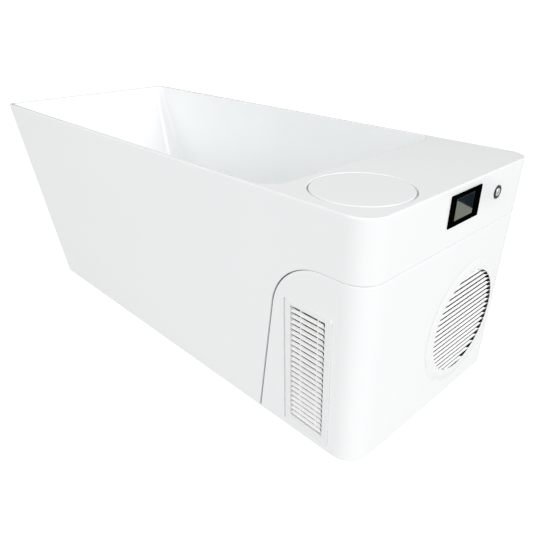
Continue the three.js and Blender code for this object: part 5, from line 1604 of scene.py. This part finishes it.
def service_cover():
    """Skin inside the cover's edge, drawn flat along the shell with its two openings, filled in front and
    behind, and joined by a rolled edge."""
    cover = Moulding()

    def around(inward):
        """Closed outline of the cover moved inwards: its edge, then back along its foot."""
        over, over_z = cover_edge(-inward, skirt_foot + inward)
        foot, foot_z = level_edge(skirt_foot + inward, corner_columns)
        return np.concatenate([over, foot[::-1]]), np.concatenate([over_z, foot_z])

    inward, depths = edge_steps(sheet)
    rim = []
    for step, depth in zip(inward, depths):
        along, z = around(step)
        rim.append(cover.row(shell_place(along, z, depth)))
    cover.bands(rim[::-1])
    pocket = side_window(side_pocket_half, side_pocket_height, side_pocket_corner, side_pocket_aside)
    window = side_window(side_window_half, side_window_height, side_window_corner)
    turn = np.arange(96) * (2 * np.pi / 96)
    outlet = end_opening(fan_y + fan_outlet * np.cos(turn), fan_z + fan_outlet * np.sin(turn))
    sides = []
    for rows, step, depth, facing, skin, side_hole in (
        (rim[-1], inward[-1], 0.0, -1, 0, pocket), (rim[0], inward[0], sheet, 1, 1, window),
    ):
        along, z = around(step)
        openings = [side_hole, outlet]
        holes = [cover.row(shell_place(a, b, depth)) for a, b in openings]
        sides.append(holes)
        flat = np.concatenate(
            [np.stack([along, z], 1)] + [np.stack([a, b], 1) for a, b in openings])
        upper = len(cover_edge(0.0, skirt_foot)[0])
        ties = []
        for column in np.concatenate([corner_columns, -corner_columns]):
            same = np.flatnonzero(np.abs(along - column) < 1e-6)
            if len(same) == 2 and same[0] < upper <= same[1]:
                ties.append(tuple(same))
        cover.fill([rows] + holes, flat, facing, ties, skin)
    floor_rows = [cover.row(shell_place(*line, side_pocket_depth)) for line in (pocket, window)]
    cover.bands([sides[0][0], *floor_rows])
    # The cut edges of the window and of the fan outlet take the dark finish: painted shade in the openings.
    cover.band(floor_rows[1], sides[1][0], skin=1)
    cover.band(sides[0][1], sides[1][1], skin=1)
    return cover


service_cover().place(
    "service_cover_skin", [white_acrylic, laminate_and_painted_shade], "cover", "service_cover", "white_acrylic")

# Side grille: one white plastic moulding pushed through the window in the cover. Its flat frame lies in the
# pocket, a barrel goes through the wall, and thin slats slope up and inwards, carried by two ribs.
grille_half_width = 70.0
grille_half_height = 178.5
grille_corner = 6.0
grille_side_border = 17.5
grille_head_border = 14.0
grille_seat = 0.3
side_grille_proud = 2.0
side_grille_tilt = 2.0 / 70.0
side_grille_seat = -3.6
side_grille_sill = 7.5
grille_edge = 1.2
grille_depth = 14.0
barrel_wall = 4.0
opening_corner = 1.5
slat_pitch = 15.0
slat_thickness = 2.4
slat_run = 6.0
slat_rise = 6.0
slat_round = 0.8
slat_set_back = 1.2
slat_bite = 1.0
slat_thin = 0.12
side_slat_taper = 9.0
side_slat_gap = 2.4
rib_width = 3.0

# The slats take a lighter white than the rest of the same moulding: painted light, standing in for the light
# falling on their upward faces.
painted_light_louvre_white = finish_material(
    "painted_light_louvre_white", (0.985, 0.985, 0.982), 0.3, waver=0.008, waver_size=40.0)


def bar(moulding, lines, skin=0):
    """Straight bar through like outlines, closed at both ends."""
    rows = [moulding.row(line) for line in lines]
    ends = moulding.row(np.stack([lines[0].mean(0), lines[-1].mean(0)]))
    moulding.bands(rows, skin=skin)
    moulding.cone(rows[0][::-1], ends[0], skin)
    moulding.cone(rows[-1], ends[1], skin)


def slat(moulding, carry, outline, level, front, left, taper, end, right):
    """Slanted slat from its left-hand side. From a taper on it thins to its nose, and from its end a thin
    tongue holds it to the right-hand side."""
    depth, height = outline.T
    nose = height * np.where(depth < slat_round, 1.0, slat_thin)
    lines = [carry(place, level + height, front - depth) for place in (left, end - taper)]
    lines.append(carry(end, level + nose, front - depth * slat_thin))
    for place in (end + slat_thin, right):
        lines.append(carry(place, level + height * slat_thin, front - depth * slat_thin))
    # Skin 1 is the slats' lighter white, which is painted light.
    bar(moulding, lines, 1)


def slat_lines(run, rise):
    """Outline of a slat that rises as it goes back."""
    return softened([[0, 0], [run, rise], [run, rise + slat_thickness], [0, slat_thickness]], slat_round)


def slat_levels(height):
    """Levels of the lowest front edges of a bank of slats that fills a height."""
    count = int(height // slat_pitch)
    first = -((count - 1) * slat_pitch + slat_rise + slat_thickness) / 2
    return first + slat_pitch * np.arange(count)


def side_grille():
    """Frame and barrel: a profile carried round a rectangle with round corners. Slats: a slanted outline
    carried across. Ribs: a rectangle carried up."""
    grille = Moulding()
    lean = side_lean / shell_height
    carry = wall_frame(
        (side_grille_x, -shell_half(side_grille_z), side_grille_z), (1, -side_grille_tilt, 0), (0, -lean, 1))
    open_width = grille_half_width - grille_side_border
    open_height = grille_half_height - grille_head_border

    def outer(inset, proud):
        line = box_outline(
            grille_half_width - inset, grille_half_height - inset, grille_corner - inset)
        return grille.row(carry(line[:, 0], line[:, 1], proud))

    def inner(grow, proud):
        line = box_outline(open_width + grow, open_height + grow, opening_corner + max(grow, 0.0))
        sill = np.where(line[:, 1] < 0, side_grille_sill, 0.0)
        return grille.row(carry(line[:, 0], line[:, 1] + sill, proud))

    along, up = rolled(grille_edge)
    shoulder = side_grille_proud - grille_edge
    rows = [outer(0.0, side_grille_seat)]
    rows += [outer(a, shoulder + u) for a, u in zip(along, up)]
    rows.append(outer(grille_edge + shade_strip, side_grille_proud))
    rows.append(inner(grille_edge + shade_strip, side_grille_proud))
    rows += [inner(a, shoulder + u) for a, u in zip(along[::-1], up[::-1])]
    rows.append(inner(0.0, -grille_depth))
    rows.append(inner(barrel_wall, -grille_depth))
    rows.append(inner(barrel_wall, side_grille_seat))
    grille.bands(rows + rows[:1])
    reach = open_width + slat_bite
    outline = slat_lines(slat_run, slat_rise)
    for level in slat_levels(2 * open_height):
        slat(grille, carry, outline, level, -slat_set_back,
             -reach, side_slat_taper, open_width - side_slat_gap, reach)
    rib_front = -slat_set_back - slat_run + rib_width / 2
    rib_line = np.array([[1, 0], [1, 1], [-1, 1], [-1, 0]], float)
    for middle in (-open_width / 2, open_width / 2):
        across = middle + rib_line[:, 0] * rib_width / 2
        proud = rib_front + rib_line[:, 1] * (-grille_depth - rib_front)
        foot = -open_height - barrel_wall / 2
        bar(grille, [carry(across, foot, proud), carry(across, -foot, proud)])
    return grille


side_grille().place(
    "side_louvre", [white_plastic, painted_light_louvre_white], "cover", "side_grille", "white_plastic")

# Fan grille: a round white plastic moulding. Its flange is screwed to the end face from behind and bears on
# the round corner of the cover. The slats cross the outlet and their noses run into the flange.
fan_grille_proud = 2.5
fan_open = 143.5
fan_flange = 177.5
fan_flange_taper = 20.0
fan_lip_back = 1.0
fan_nose = 1.25
fan_slat_bite = 2.0
fan_slat_shift = 4.0
fan_slat_lift = 4.2
fan_slat_taper = 15.0
fan_slat_run = 3.2
fan_slat_rise = 6.4


def fan_grille():
    """Flange: a profile carried round a circle, whose back lies on the shell. Slats: a slanted outline
    carried across, whose ends follow a circle."""
    grille = Moulding()
    carry = end_frame(fan_y, fan_z)
    turn = np.arange(192) * (2 * np.pi / 192)

    def circle(radius, proud):
        return grille.row(carry(radius * np.cos(turn), radius * np.sin(turn), proud))

    def seat(radius):
        """How far the cover's face falls back from flat, under a circle."""
        y = fan_y + radius * np.cos(turn)
        over = np.maximum(np.abs(y) - (shell_half(fan_z) - chiller_corner), 0.0)
        return grille_seat - chiller_corner + np.sqrt(chiller_corner ** 2 - over ** 2)

    along, up = rolled(grille_edge)
    shoulder = fan_grille_proud - grille_edge
    rows = []
    for share in np.linspace(0.0, 1.0, 9):
        radius = fan_flange - fan_flange_taper * share
        rise = (1 - np.cos(share * np.pi)) / 2
        rows.append(circle(radius, seat(radius) + (fan_grille_proud - seat(radius)) * rise))
    rows.append(circle(fan_open + grille_edge + shade_strip, fan_grille_proud))
    rows += [circle(fan_open + a, shoulder + u) for a, u in zip(along[::-1], up[::-1])]
    rows.append(circle(fan_open, fan_lip_back))
    rows.append(circle(fan_outlet, fan_lip_back))
    rows.append(circle(fan_outlet, seat(fan_outlet)))
    grille.bands(rows + rows[:1])
    outline = slat_lines(fan_slat_run, fan_slat_rise)
    for level in slat_levels(2 * fan_open):
        height = level + outline[:, 1]
        reach = np.sqrt((fan_open + fan_slat_bite) ** 2 - height ** 2)
        end = np.sqrt(fan_open ** 2 - (height - fan_slat_lift) ** 2) - fan_slat_shift
        slat(grille, carry, outline, level, fan_nose,
             -reach, fan_slat_taper, np.minimum(end, reach - fan_slat_bite), reach)
    return grille


fan_grille().place("fan_louvre", [white_plastic, painted_light_louvre_white], "cover", "fan_grille", "white_plastic")
